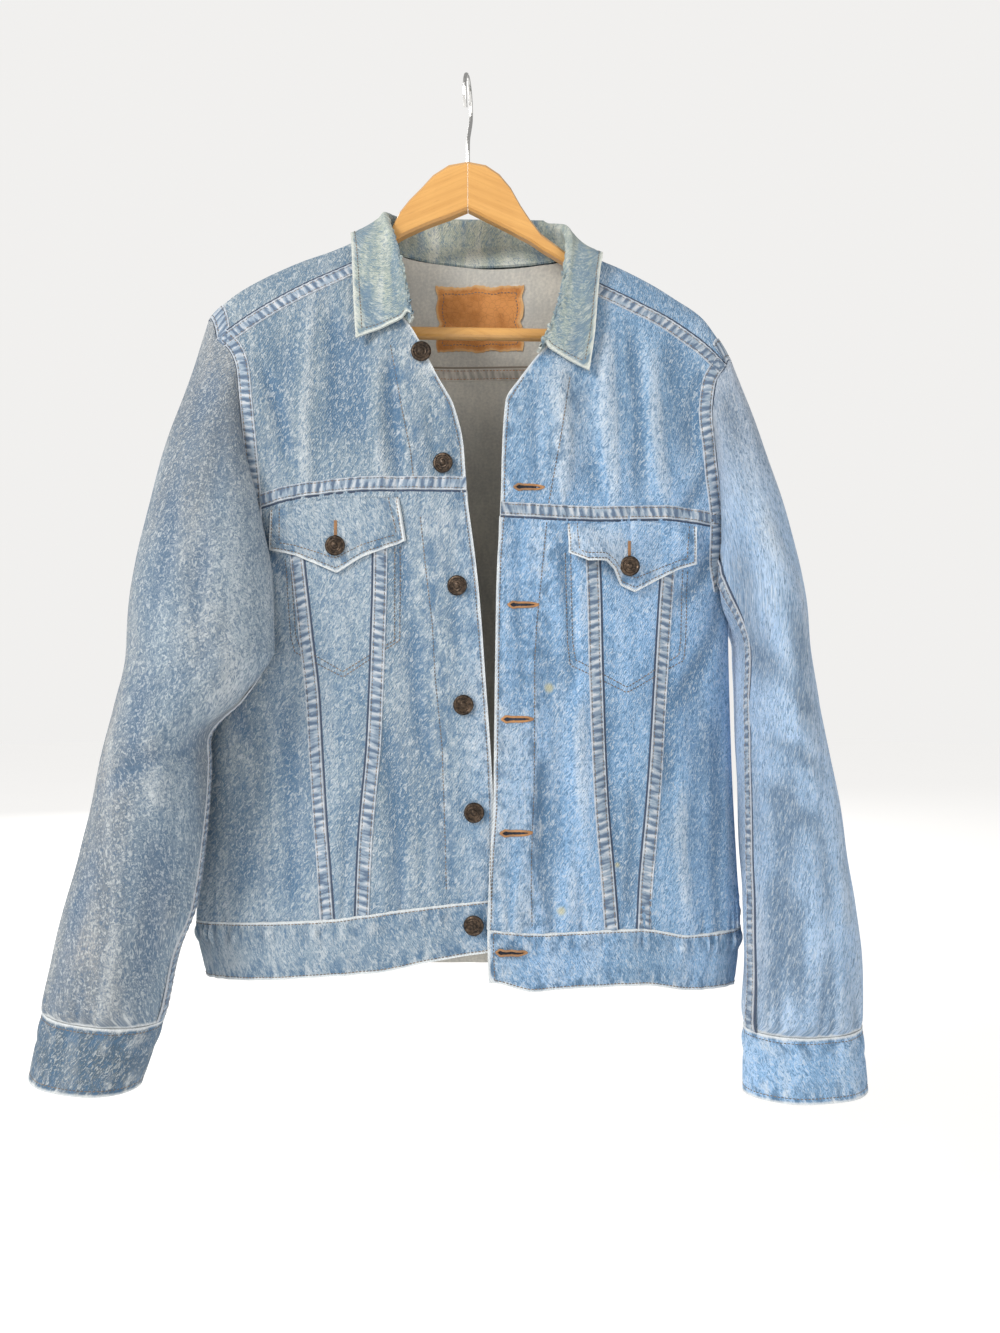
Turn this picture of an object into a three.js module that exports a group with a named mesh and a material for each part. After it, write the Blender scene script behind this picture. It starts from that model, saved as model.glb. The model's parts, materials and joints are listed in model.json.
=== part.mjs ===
// Denim jacket hanging open on a wooden hanger, in millimetres.
// The origin is where the hook bears on its rail. +X is the viewer's right, the
// front of the jacket faces -Y and +Z is up. "Right" and "left" in names are the
// wearer's, so the right front, with the buttons, is on the -X side.
import * as THREE from "three";

// Cloth
const singleCloth = 1.6;
const doubleCloth = 2.6;
const seamGap = 0.3;
const flapLift = 0.7;

// Body ring: depth of the fronts and the back from the side seams' plane
const frontDepth = 54;
const backDepth = 46;
const ridgeRound = 8;
const ridgeSlope = 0.25;
const neckBulge = 12;
const neckBulgeAt = { z: -150, wide: 85, tall: 70 };
const neckBulgeBack = 3;
const lapLift = 5;
const lapFrom = { x: 95, z: -540 };
const lapFull = { x: 40, z: -630 };

// Millimetres a turn of one radian counts for where seams are drawn on the ring
const ringScale = 200;
// What the root of a drop from the ridge counts for where the yoke is drawn
const rootScale = 10;

// Waistband: its height behind, and the half turns where that holds
const bandBackZ = -748;
const bandBackHalfTurns = [0.72, 1, 1.28];
const bandTall = 50;
const bandRows = 3;
const bandTopGap = 0.35;

// Turns of the body ring where the side seams run
const leftSide = Math.PI / 2;
const rightSide = (3 * Math.PI) / 2;

// Buttons
const buttonRadius = 8.5;
const buttonHeight = 3;
const buttonGap = 0.6;
const buttonSides = 12;
const flapButtonGap = { right: -0.4, left: 1.6 };

// Button from its axis at the back, out to the rim, the hollow ring and the nub
const buttonProfile = [
  { radius: 0, height: 0 },
  { radius: buttonRadius, height: 0 },
  { radius: buttonRadius, height: 2 },
  { radius: 7.2, height: buttonHeight },
  { radius: 5.6, height: 2.2 },
  { radius: 2.8, height: 2.2 },
  { radius: 1.8, height: buttonHeight },
  { radius: 0, height: buttonHeight },
];

// Hanger
const armThickness = 12;
const armTopChamfer = 3.5;
const armBottomChamfer = 2;
const armMiddleGap = 0.15;
const armTopDrop = 7;
const armUnderCloth = 90;
const hookYaw = -6;
const bandStand = 0.9;
const barRadius = 5.6;
const barSides = 16;
const wireRadius = 1.7;
const hookRadius = 19;
const wireSides = 8;
const wireSteps = 44;
const hookTurns = [-20, 10, 40, 65, 90, 115, 140, 170, 200, 222];
const hookShaft = [[0, -73.6], [0, -62], [2, -52], [9, -42]];

// Collar
const collarCloth = 2.4;
const collarStandGap = 1.6;
const rollRadius = 5;

const denim = { color: 0x9fbcd6, roughness: 0.9, metalness: 0 };
const paleDenim = { color: 0xb4c4cc, roughness: 0.9, metalness: 0 };
const bronze = { color: 0x5a4636, roughness: 0.45, metalness: 0.8 };
const tan = { color: 0xb9793c, roughness: 0.6, metalness: 0 };
const beech = { color: 0xeab36c, roughness: 0.35, metalness: 0 };
const steel = { color: 0xb5b5b5, roughness: 0.25, metalness: 1 };

// Outline of the body seen from the front: x of the side seams at each height.
// Above the armpits the sides only carry the curve of the yoke.
const sideTable = [
  { z: -810, right: -230, left: 235 },
  { z: -795, right: -232, left: 237 },
  { z: -748, right: -241, left: 242 },
  { z: -700, right: -237, left: 239 },
  { z: -600, right: -231, left: 234 },
  { z: -470, right: -226, left: 231 },
  { z: -400, right: -236, left: 240 },
  { z: -300, right: -252, left: 254 },
  { z: -230, right: -264, left: 264 },
  { z: -100, right: -275, left: 275 },
];

// Ridge of the shoulders over the hanger, from the right sleeve to the left
const ridgeTable = [
  { x: -262, z: -262 },
  { x: -237, z: -224 },
  { x: -222, z: -206 },
  { x: -206, z: -192 },
  { x: -180, z: -177 },
  { x: -146, z: -162 },
  { x: -120, z: -153 },
  { x: -99, z: -144 },
  { x: -60, z: -126 },
  { x: 0, z: -116 },
  { x: 60, z: -130 },
  { x: 115, z: -160 },
  { x: 136, z: -169 },
  { x: 165, z: -184 },
  { x: 184, z: -196 },
  { x: 206, z: -211 },
  { x: 222, z: -232 },
  { x: 236, z: -256 },
  { x: 262, z: -300 },
];

// Large soft troughs of the fronts: from the top to the foot, half width, depth
const foldTable = [
  { x0: -97, z0: -222, x1: -92, z1: -345, wide: 15, deep: 5 },
  { x0: -150, z0: -225, x1: -165, z1: -350, wide: 18, deep: 4 },
  { x0: -62, z0: -400, x1: -38, z1: -700, wide: 14, deep: 4 },
  { x0: 99, z0: -265, x1: 110, z1: -385, wide: 14, deep: 6 },
  { x0: 178, z0: -230, x1: 192, z1: -370, wide: 14, deep: 5 },
  { x0: 60, z0: -420, x1: 90, z1: -710, wide: 16, deep: 5 },
  { x0: 190, z0: -440, x1: 205, z1: -700, wide: 16, deep: 4 },
  { x0: -190, z0: -600, x1: -180, z1: -720, wide: 16, deep: 4 },
];

// Edges of the panels as [x, z], top to bottom or right to left
const shoulderSeam = {
  right: [[-218, -237], [-190, -218], [-165, -203], [-132, -186], [-93, -168]],
  left: [[226, -259], [205, -240], [178, -221], [148, -206], [104, -185]],
};
const neckAndFrontEdge = {
  right: [[-93, -168], [-78, -195], [-62, -216], [-48, -232], [-24, -277], [-10, -303],
    [-2, -338], [0, -374]],
  left: [[104, -185], [90, -218], [76, -242], [60, -258], [46, -277], [33, -298],
    [30, -345], [29, -395]],
};
const armholeFront = {
  right: [[-218, -237], [-205, -250], [-199, -265], [-196, -290], [-191, -338], [-187, -389]],
  left: [[226, -259], [215, -278], [212, -304], [215, -333], [218, -361], [222, -401]],
};
const armholeUnderFront = {
  right: [[-187, -389], [-190, -425], [-204, -455], [-226, -471]],
  left: [[222, -401], [222, -430], [226, -455], [231, -471]],
};
const yokeSeamFront = {
  right: [[-187, -389], [-141, -378], [-78, -373], [0, -374]],
  left: [[222, -401], [168, -396], [111, -398], [29, -395]],
};
const frontEdge = {
  right: [[0, -374], [10, -450], [16, -527], [21, -598], [23, -640], [24, -717]],
  left: [[29, -395], [26, -438], [25, -486], [24, -560], [23, -640], [20, -680], [18, -741]],
};
const innerSeam = {
  right: [[-78, -373], [-78, -425], [-80, -516], [-83, -584], [-90, -667], [-93, -732]],
  left: [[111, -398], [112, -429], [115, -530], [119, -628], [126, -715], [128, -744]],
};
const outerSeam = {
  right: [[-141, -378], [-138, -433], [-131, -493], [-125, -545], [-121, -614], [-112, -735]],
  left: [[168, -396], [166, -445], [159, -560], [154, -628], [147, -708], [145, -744]],
};
const sideSeamZ = { right: [-471, -746], left: [-471, -751] };
const bandTopFront = {
  right: [[-241, -746], [-187, -741], [-112, -735], [-93, -732], [-23, -722], [24, -717]],
  left: [[242, -751], [192, -752], [145, -744], [128, -744], [72, -745], [18, -741]],
};
const bandBottomFront = {
  right: [[-232, -795], [-187, -791], [-122, -784], [-69, -778], [-30, -769], [24, -760]],
  left: [[237, -802], [196, -800], [143, -792], [102, -792], [58, -793], [26, -785]],
};

// Back yoke seam and the panels under it
const yokeSeamBackZ = -255;
const backSeamTopX = 62;
const backSeamFootX = 44;
const armholeBackX = { right: -214, left: 218 };

// Collar, one row a station from the right front end round the back of the neck.
// seam is on the neck edge, roll is the top of the fold, edge is the free edge.
const collarTable = [
  { seam: [-49, -231], face: 1, roll: [-45, -47, -222], edge: [-92, -243], edgeOff: 9 },
  { seam: [-62, -215], face: 1, roll: [-48, -44, -204], edge: [-95, -212], edgeOff: 9 },
  { seam: [-77, -194], face: 1, roll: [-53, -37, -178], edge: [-97, -184], edgeOff: 8 },
  { seam: [-90, -168], face: 1, roll: [-61, -25, -148], edge: [-99, -158], edgeOff: 8 },
  { seam: [-92, -147], face: 1, roll: [-67, -12, -129], edge: [-100, -148], edgeOff: 9 },
  { seam: [-90, -140.5], face: -1, roll: [-70, 0, -117], edge: [-101, -145.2], edgeOff: 9 },
  { seam: [-76, -145], face: -1, roll: [-63, 24, -110], edge: [-97, -157], edgeOff: 9 },
  { seam: [-50, -152], face: -1, roll: [-44, 42, -107], edge: [-62, -180], edgeOff: 8 },
  { seam: [8, -158], face: -1, roll: [8, 50, -107], edge: [8, -184], edgeOff: 8 },
  { seam: [66, -157], face: -1, roll: [62, 44, -109], edge: [78, -184], edgeOff: 8 },
  { seam: [90, -155], face: -1, roll: [82, 24, -118], edge: [113, -172], edgeOff: 9 },
  { seam: [102, -153], face: -1, roll: [86, 0, -134], edge: [116, -161], edgeOff: 9 },
  { seam: [103, -160], face: 1, roll: [86, -12, -147], edge: [116, -166], edgeOff: 9 },
  { seam: [101, -188], face: 1, roll: [84, -25, -166], edge: [114, -181], edgeOff: 8 },
  { seam: [90, -217], face: 1, roll: [79, -37, -200], edge: [111, -208], edgeOff: 8 },
  { seam: [75, -243], face: 1, roll: [71, -44, -227], edge: [108, -240], edgeOff: 9 },
  { seam: [61, -257], face: 1, roll: [61, -47, -248], edge: [104, -271], edgeOff: 9 },
];

// Sleeves below the armpit, one row a level: middle and half size of the section,
// and the turn from the body side to the underarm seam, in degrees.
const sleeveTable = {
  right: [
    { z: -508, x: -221, y: -52, wide: 61, deep: 50, under: -95 },
    { z: -550, x: -240, y: -52, wide: 51, deep: 54, under: -85 },
    { z: -586, x: -258, y: -50, wide: 41, deep: 57, under: -70 },
    { z: -635, x: -265, y: -48, wide: 46, deep: 54, under: -60 },
    { z: -677, x: -272, y: -48, wide: 50, deep: 50, under: -50 },
    { z: -719, x: -280, y: -50, wide: 54, deep: 47, under: -45 },
    { z: -762, x: -292, y: -52, wide: 51, deep: 46, under: -40 },
    { z: -800, x: -300, y: -54, wide: 51, deep: 40, under: -40 },
    { z: -811, x: -302, y: -55, wide: 49, deep: 33, under: -40 },
  ],
  left: [
    { z: -508, x: 265, y: -14, wide: 29, deep: 74, under: -20 },
    { z: -551, x: 269, y: -16, wide: 32, deep: 71, under: -20 },
    { z: -594, x: 273, y: -18, wide: 36, deep: 67, under: -20 },
    { z: -638, x: 278, y: -20, wide: 41, deep: 62, under: -20 },
    { z: -682, x: 282, y: -21, wide: 44, deep: 58, under: -20 },
    { z: -725, x: 286, y: -22, wide: 47, deep: 53, under: -20 },
    { z: -769, x: 289, y: -24, wide: 50, deep: 47, under: -20 },
    { z: -818, x: 290, y: -25, wide: 51, deep: 40, under: -20 },
    { z: -831, x: 290, y: -25, wide: 50, deep: 33, under: -20 },
  ],
};
const cuffTable = {
  right: { foot: { z: -865, x: -316, y: -58, wide: 45, deep: 34, under: -40 }, tilt: -0.11 },
  left: { foot: { z: -887, x: 292, y: -26, wide: 53, deep: 31, under: -20 }, tilt: 0.02 },
};
const blendRings = 8;
const sleeveClear = 3.6;
const sleeveSeat = 0.4;
const underShare = 0.03;
const underClear = 2.5;
const underForward = 7;
const topSleeveFrom = 0.06;
const topSleeveTo = 0.72;

// Pocket flaps as [x, z]: top edge, then the foot from the outer to the inner corner
const flapTable = {
  right: {
    top: [[-166, -389], [-110, -383], [-56, -380]],
    foot: [[-167, -422], [-144, -428], [-109, -443], [-88, -430], [-50, -416]],
    curl: { x: -109, z: -430, wide: 60, high: 0 },
  },
  left: {
    top: [[197, -402], [141, -402], [86, -402]],
    foot: [[196, -434], [180, -439], [142, -457], [124, -440], [88, -422]],
    curl: { x: 112, z: -432, wide: 18, high: 7 },
  },
};

// Buttons by place [x, z] on the right front, on the flaps and on the cuffs
const frontButtons = [
  ["neck", -38, -256], ["yoke", -19, -351], ["chest", -7, -454],
  ["middle", -2, -554], ["waist", 7, -644],
];
const bandButton = [7, -738];
const flapButtons = { right: [-110, -420], left: [136, -437] };

// Leather patch inside the back neck
const patch = { x: 10, top: -171, foot: -231, width: 83, thick: 1.6, columns: 6, rows: 4 };

// Hanger outline as { x, top, foot }, from the middle to each tip
const armTable = {
  right: [
    { x: 0, top: -74, foot: -117 }, { x: -17, top: -77, foot: -124 },
    { x: -31, top: -86, foot: -129 }, { x: -41, top: -97, foot: -133 },
    { x: -52, top: -108, foot: -138 }, { x: -60, top: -118, foot: -142 },
    { x: -67, top: -131, foot: -147 }, { x: -76, top: -142, foot: -153 },
    { x: -90, top: -158, foot: -166 },
    { x: -99, top: -149, foot: -164 },
    { x: -146, top: -165, foot: -182 }, { x: -184, top: -182, foot: -201 },
    { x: -184.6, top: -182, foot: -238 }, { x: -206, top: -195, foot: -236 },
    { x: -216, top: -203, foot: -222 },
  ],
  left: [
    { x: 0, top: -74, foot: -117 }, { x: 16, top: -77, foot: -125 },
    { x: 28, top: -85, foot: -131 }, { x: 38, top: -97, foot: -136 },
    { x: 47, top: -113, foot: -141 }, { x: 55, top: -125, foot: -145 },
    { x: 65, top: -138, foot: -152 }, { x: 85, top: -153, foot: -164 },
    { x: 115, top: -164, foot: -181 }, { x: 165, top: -188, foot: -206 },
    { x: 186, top: -200, foot: -217 }, { x: 186.6, top: -200, foot: -243 },
    { x: 206, top: -215, foot: -241 }, { x: 214, top: -224, foot: -234 },
  ],
};
const bar = { z: -226, tilt: -0.016, right: -183.6, left: 185.6 };

// Smooth value of a table column between its rows, whose key column rises
function smoothColumn(table, key, column) {
  const rows = [...table].sort((a, b) => a[key] - b[key]);
  const xs = rows.map((r) => r[key]);
  const ys = rows.map((r) => r[column]);
  const last = xs.length - 1;
  const steps = xs.slice(1).map((x, i) => (ys[i + 1] - ys[i]) / (x - xs[i]));
  const slopes = xs.map((_, i) => {
    if (i === 0) return steps[0];
    if (i === last) return steps[last - 1];
    const [a, b] = [steps[i - 1], steps[i]];
    return a * b <= 0 ? 0 : (2 * a * b) / (a + b);
  });
  return (x) => {
    const at = Math.min(Math.max(x, xs[0]), xs[last]);
    let i = 0;
    while (i < last - 1 && at > xs[i + 1]) i += 1;
    const h = xs[i + 1] - xs[i];
    return hermite(ys[i], slopes[i] * h, ys[i + 1], slopes[i + 1] * h, (at - xs[i]) / h);
  };
}

function hermite(a, slopeA, b, slopeB, t) {
  const t2 = t * t;
  const t3 = t2 * t;
  return a * (2 * t3 - 3 * t2 + 1) + slopeA * (t3 - 2 * t2 + t)
    + b * (3 * t2 - 2 * t3) + slopeB * (t3 - t2);
}

const mix = (a, b, t) => a + (b - a) * t;

function smoothstep(from, to, x) {
  const t = Math.min(Math.max((x - from) / (to - from), 0), 1);
  return t * t * (3 - 2 * t);
}

// Smooth curve through number lists, t from 0 to 1 by length
function curveThrough(points) {
  const lengths = [0];
  points.slice(1).forEach((p, i) => {
    lengths.push(lengths[i] + Math.hypot(...p.map((v, k) => v - points[i][k])));
  });
  const total = lengths.at(-1);
  const columns = points[0].map((_, k) => smoothColumn(
    points.map((p, i) => ({ at: lengths[i] / total, value: p[k] })), "at", "value"));
  return (t) => columns.map((column) => column(t));
}

const sideRight = smoothColumn(sideTable, "z", "right");
const sideLeft = smoothColumn(sideTable, "z", "left");
const ridge = smoothColumn(ridgeTable, "x", "z");

const sideX = (side, z) => (side === "right" ? sideRight(z) : sideLeft(z));
const ringMiddle = (z) => (sideLeft(z) + sideRight(z)) / 2;
const ringHalf = (z) => (sideLeft(z) - sideRight(z)) / 2;

// Turn round the body ring of a place x, z: 0 is the front middle, the left side
// seam is a quarter turn on and the back middle half a turn on.
function turnAt(x, z, back = false) {
  const sine = Math.min(Math.max((x - ringMiddle(z)) / ringHalf(z), -1), 1);
  return back ? Math.PI - Math.asin(sine) : Math.asin(sine);
}

function foldDepth(x, z) {
  return foldTable.reduce((sum, f) => {
    const along = (f.z0 - z) / (f.z0 - f.z1);
    const ends = smoothstep(-0.1, 0.25, along) * smoothstep(1.1, 0.75, along);
    const off = (x - mix(f.x0, f.x1, along)) / f.wide;
    return sum + f.deep * ends * Math.exp(-off * off);
  }, 0);
}

// Depth of the cloth's outer face from the side seams' plane
function depthAt(x, z, cosine, back) {
  const drop = Math.max(ridge(x) - z, 0);
  const rise = Math.sqrt(2 * ridgeRound * drop + (ridgeSlope * drop) ** 2);
  const across = x / neckBulgeAt.wide;
  const down = (z - neckBulgeAt.z) / neckBulgeAt.tall;
  const neck = neckBulge * (back ? neckBulgeBack : 1) * Math.exp(-across * across - down * down);
  const full = (back ? backDepth : frontDepth) * Math.abs(cosine) + neck;
  const folds = back ? 0 : foldDepth(x, z) * Math.abs(cosine);
  return Math.max(full * Math.tanh(rise / Math.max(full, 1e-3)) - folds, 0);
}

function bodyPoint(turn, z, out = 0) {
  const cosine = Math.cos(turn);
  const x = ringMiddle(z) + ringHalf(z) * Math.sin(turn);
  const back = cosine < 0;
  const depth = depthAt(x, z, cosine, back) + out;
  return new THREE.Vector3(x, back ? depth : -depth, z);
}

// Point of the yoke by x and the root of the drop from the ridge, less than zero
// in front of it
function yokePoint(x, root) {
  const z = ridge(x) - root * root;
  const back = root > 0;
  const cosine = Math.cos(turnAt(x, z));
  return new THREE.Vector3(x, depthAt(x, z, cosine, back) * (back ? 1 : -1), z);
}

const yokeRoot = (x, z, back) => Math.sqrt(Math.max(ridge(x) - z, 0)) * (back ? 1 : -1);

// Point inside four edges, each a function of 0..1 that gives a number list
function insideEdges(top, foot, from, to) {
  return (u, v) => top(u).map((t, k) => {
    const corners = mix(mix(from(0)[k], to(0)[k], u), mix(from(1)[k], to(1)[k], u), v);
    return mix(t, foot(u)[k], v) + mix(from(v)[k], to(v)[k], u) - corners;
  });
}

// Outward normals of a grid of points; side is 1 or -1
function gridNormals(grid, side) {
  const rows = grid.length;
  const columns = grid[0].length;
  return grid.map((row, i) => row.map((_, j) => {
    const down = grid[Math.min(i + 1, rows - 1)][j].clone().sub(grid[Math.max(i - 1, 0)][j]);
    const across = row[Math.min(j + 1, columns - 1)].clone().sub(row[Math.max(j - 1, 0)]);
    return across.cross(down).normalize().multiplyScalar(side);
  }));
}

// Normals of a lifted surface at its flat places, the same on both sides of a seam
function liftedNormals(lift, places) {
  const step = 1e-3;
  return places.map((row) => row.map(([p, q]) => {
    const dp = lift(p + step, q).sub(lift(p - step, q));
    const dq = lift(p, q - step * 50).sub(lift(p, q + step * 50));
    return dq.cross(dp).normalize();
  }));
}

// Moves the edge points of a grid inwards by half a seam gap, square to the edge
function drawIn(grid, amounts) {
  const rows = grid.length - 1;
  const columns = grid[0].length - 1;
  const moved = grid.map((row) => row.map((p) => p.clone()));
  const pull = (i, j, inI, inJ, alongI, alongJ, amount) => {
    const at = (a, b) => grid[Math.min(Math.max(a, 0), rows)][Math.min(Math.max(b, 0), columns)];
    const tangent = at(i + alongI, j + alongJ).clone().sub(at(i - alongI, j - alongJ)).normalize();
    const inward = at(i + inI, j + inJ).clone().sub(at(i, j));
    inward.addScaledVector(tangent, -inward.dot(tangent)).normalize();
    moved[i][j].addScaledVector(inward, amount);
  };
  for (let j = 0; j <= columns; j += 1) {
    pull(0, j, 1, 0, 0, 1, amounts.top);
    pull(rows, j, -1, 0, 0, 1, amounts.foot);
  }
  for (let i = 0; i <= rows; i += 1) {
    pull(i, 0, 0, 1, 1, 0, amounts.from);
    pull(i, columns, 0, -1, 1, 0, amounts.to);
  }
  return moved;
}

// Closed wall between a grid and its copy moved in by the cloth's thickness
function wall(outer, normals, thickness) {
  const rows = outer.length;
  const columns = outer[0].length;
  const positions = [];
  const add = (p) => positions.push(p.x, p.y, p.z) / 3 - 1;
  const outside = outer.map((row) => row.map(add));
  const inside = outer.map((row, i) => row.map((p, j) => {
    const thick = typeof thickness === "function" ? thickness(i, j) : thickness;
    return add(p.clone().addScaledVector(normals[i][j], -thick));
  }));
  const faces = [];
  const quad = (a, b, c, d) => faces.push(a, b, c, a, c, d);
  for (let i = 0; i < rows - 1; i += 1) {
    for (let j = 0; j < columns - 1; j += 1) {
      quad(outside[i][j], outside[i][j + 1], outside[i + 1][j + 1], outside[i + 1][j]);
      quad(inside[i][j], inside[i + 1][j], inside[i + 1][j + 1], inside[i][j + 1]);
    }
  }
  for (let j = 0; j < columns - 1; j += 1) {
    quad(outside[0][j], inside[0][j], inside[0][j + 1], outside[0][j + 1]);
    const i = rows - 1;
    quad(outside[i][j], outside[i][j + 1], inside[i][j + 1], inside[i][j]);
  }
  for (let i = 0; i < rows - 1; i += 1) {
    quad(outside[i][0], outside[i + 1][0], inside[i + 1][0], inside[i][0]);
    const j = columns - 1;
    quad(outside[i][j], inside[i][j], inside[i + 1][j], outside[i + 1][j]);
  }
  return facingOut(positions, faces);
}

function facingOut(positions, faces) {
  const p = (i) => new THREE.Vector3().fromArray(positions, i * 3);
  let volume = 0;
  for (let i = 0; i < faces.length; i += 3) {
    volume += p(faces[i]).dot(p(faces[i + 1]).cross(p(faces[i + 2])));
  }
  const turned = volume < 0 ? faces.slice().reverse() : faces;
  const geometry = new THREE.BufferGeometry();
  geometry.setAttribute("position", new THREE.Float32BufferAttribute(positions, 3));
  geometry.setIndex(turned);
  geometry.computeVertexNormals();
  return geometry;
}

const group = new THREE.Group();

function addPiece(name, geometry, material) {
  const piece = new THREE.Mesh(geometry, new THREE.MeshStandardMaterial(material));
  piece.name = name;
  group.add(piece);
  return piece;
}

const fractions = (count) => Array.from({ length: count + 1 }, (_, i) => i / count);

// Panel of the body: flat places by rows and columns, lifted on to the ring
function panel(name, lift, flat, rowStops, columnStops, options = {}) {
  const { thickness = singleCloth, gaps = {} } = options;
  const places = rowStops.map((v) => columnStops.map((u) => flat(u, v)));
  const grid = places.map((row) => row.map(([p, q]) => lift(p, q)));
  const normals = liftedNormals(lift, places);
  const half = seamGap / 2;
  const amounts = { top: half, foot: half, from: half, to: half, ...gaps };
  const drawn = drawIn(grid, amounts);
  addPiece(name, wall(drawn, normals, thickness), denim);
  return { grid, normals };
}

// Seam as a curve of turns round the body and heights
const ringCurve = (points) => curveThrough(
  points.map(([x, z]) => [turnAt(x, z) * ringScale, z]));
const ringPlace = ([turn, z]) => [turn / ringScale, z];

function ringPatch(top, foot, from, to) {
  const inside = insideEdges(top, foot, from, to);
  return (u, v) => ringPlace(inside(u, v));
}

// A seam shared by several panels, cut at its own x stops
function sharedSeam(points, stops) {
  const whole = curveThrough(points);
  const at = (x) => {
    let [low, high] = [0, 1];
    const rising = points.at(-1)[0] > points[0][0];
    for (let n = 0; n < 40; n += 1) {
      const middle = (low + high) / 2;
      if ((whole(middle)[0] < x) === rising) low = middle;
      else high = middle;
    }
    return (low + high) / 2;
  };
  return stops.slice(1).map((x, i) => {
    const [from, to] = [at(stops[i]), at(x)];
    return (t) => whole(mix(from, to, t));
  });
}

const onRing = (curve) => (t) => {
  const [x, z] = curve(t);
  return [turnAt(x, z) * ringScale, z];
};

const fullTurn = 2 * Math.PI;

// Height of a waistband edge by the turn, which runs on from the left front edge
// round the back to the right front edge
function bandEdge(table, backZ) {
  const rows = [
    ...[...table.left].reverse().map(([x, z]) => ({ turn: turnAt(x, z), z })),
    ...bandBackHalfTurns.map((half) => ({ turn: half * Math.PI, z: backZ })),
    ...table.right.map(([x, z]) => ({ turn: fullTurn + turnAt(x, z), z })),
  ];
  return smoothColumn(rows, "turn", "z");
}

const bandTop = bandEdge(bandTopFront, bandBackZ);
const bandFoot = bandEdge(bandBottomFront, bandBackZ - bandTall);

const alongBand = (from, to, shift = 0) => (t) => {
  const turn = mix(from, to, t);
  return [turn * ringScale, bandTop(turn + shift)];
};

const frontColumns = { side: 4, taper: 3, centre: 5 };
const yokeRows = 9;
const lowerRows = 12;

// Turns where the seams of one front meet the waistband, from the side seam inwards
function frontBandTurns(side) {
  return [bandTopFront[side][0], outerSeam[side].at(-1), innerSeam[side].at(-1),
    frontEdge[side].at(-1)].map(([x, z]) => turnAt(x, z));
}

// Front panels of one side, from the armhole or side seam to the front edge
function fronts(side) {
  const seamStops = [yokeSeamFront[side][0][0], outerSeam[side][0][0], innerSeam[side][0][0],
    frontEdge[side][0][0]];
  const bandStops = frontBandTurns(side);
  const seams = sharedSeam(yokeSeamFront[side], seamStops).map((c) => onRing(c));
  const shift = side === "right" ? fullTurn : 0;
  const bands = bandStops.slice(1).map((turn, k) => alongBand(bandStops[k], turn, shift));
  const counts = [frontColumns.side, frontColumns.taper, frontColumns.centre];
  const total = counts.reduce((a, b) => a + b);

  const yokeFoot = (t) => {
    let at = t * total;
    for (let k = 0; k < counts.length; k += 1) {
      if (at <= counts[k] || k === counts.length - 1) return seams[k](Math.min(at / counts[k], 1));
      at -= counts[k];
    }
    return seams[0](0);
  };
  const yokeFlat = ringPatch(
    ringCurve(shoulderSeam[side]), yokeFoot,
    ringCurve(armholeFront[side]), ringCurve(neckAndFrontEdge[side]));
  const lap = (turn, z) => {
    const x = ringMiddle(z) + ringHalf(z) * Math.sin(turn);
    const near = smoothstep(lapFrom.x, lapFull.x, x) * smoothstep(lapFrom.z, lapFull.z, z);
    return side === "left" ? lapLift * near : 0;
  };
  const lift = (turn, z) => bodyPoint(turn, z, lap(turn, z));
  const yoke = panel(`front_yoke_${side}`, lift, yokeFlat,
    fractions(yokeRows), fractions(total));

  const edges = [
    (v) => sideEdge(side, v), ringCurve(outerSeam[side]), ringCurve(innerSeam[side]),
    ringCurve(frontEdge[side]),
  ];
  const names = ["front_side", "front_taper", "front_centre"];
  const lower = names.map((name, k) => {
    const flat = ringPatch(seams[k], bands[k], edges[k], edges[k + 1]);
    return panel(`${name}_${side}`, lift, flat, fractions(lowerRows), fractions(counts[k]), {
      thickness: name === "front_centre" ? doubleCloth : singleCloth,
    });
  });
  return { yoke, lower };
}

const armholeRowShare = 4 / lowerRows;

// Edge of the front side panel: the lower armhole, then the side seam
function sideEdge(side, v) {
  const armhole = ringCurve(armholeUnderFront[side]);
  const [top, foot] = sideSeamZ[side];
  if (v <= armholeRowShare) return armhole(v / armholeRowShare);
  const z = mix(top, foot, (v - armholeRowShare) / (1 - armholeRowShare));
  const turn = side === "left" ? leftSide : -leftSide;
  return [turn * ringScale, z];
}

// Shoulder seam of the fronts by x and ten times the root of its drop
function shoulderRoots(side) {
  const seam = ringCurve(shoulderSeam[side]);
  return (t) => {
    const [turn, z] = ringPlace(seam(t));
    const x = ringMiddle(z) + ringHalf(z) * Math.sin(turn);
    return [x, rootScale * yokeRoot(x, z, false)];
  };
}

// Columns of the back yoke's grid, and those that meet the collar's stations
const yokeColumns = { arm: 12, neck: 12 };
const yokeNeckStops = [0, 1, 2, 4, 6, 8, 10, 11, 12];
const yokeFootX = { right: -90, left: 98 };
const yokeArmTopX = { right: -229, left: 234 };
const backYokeRows = 8;

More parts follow.
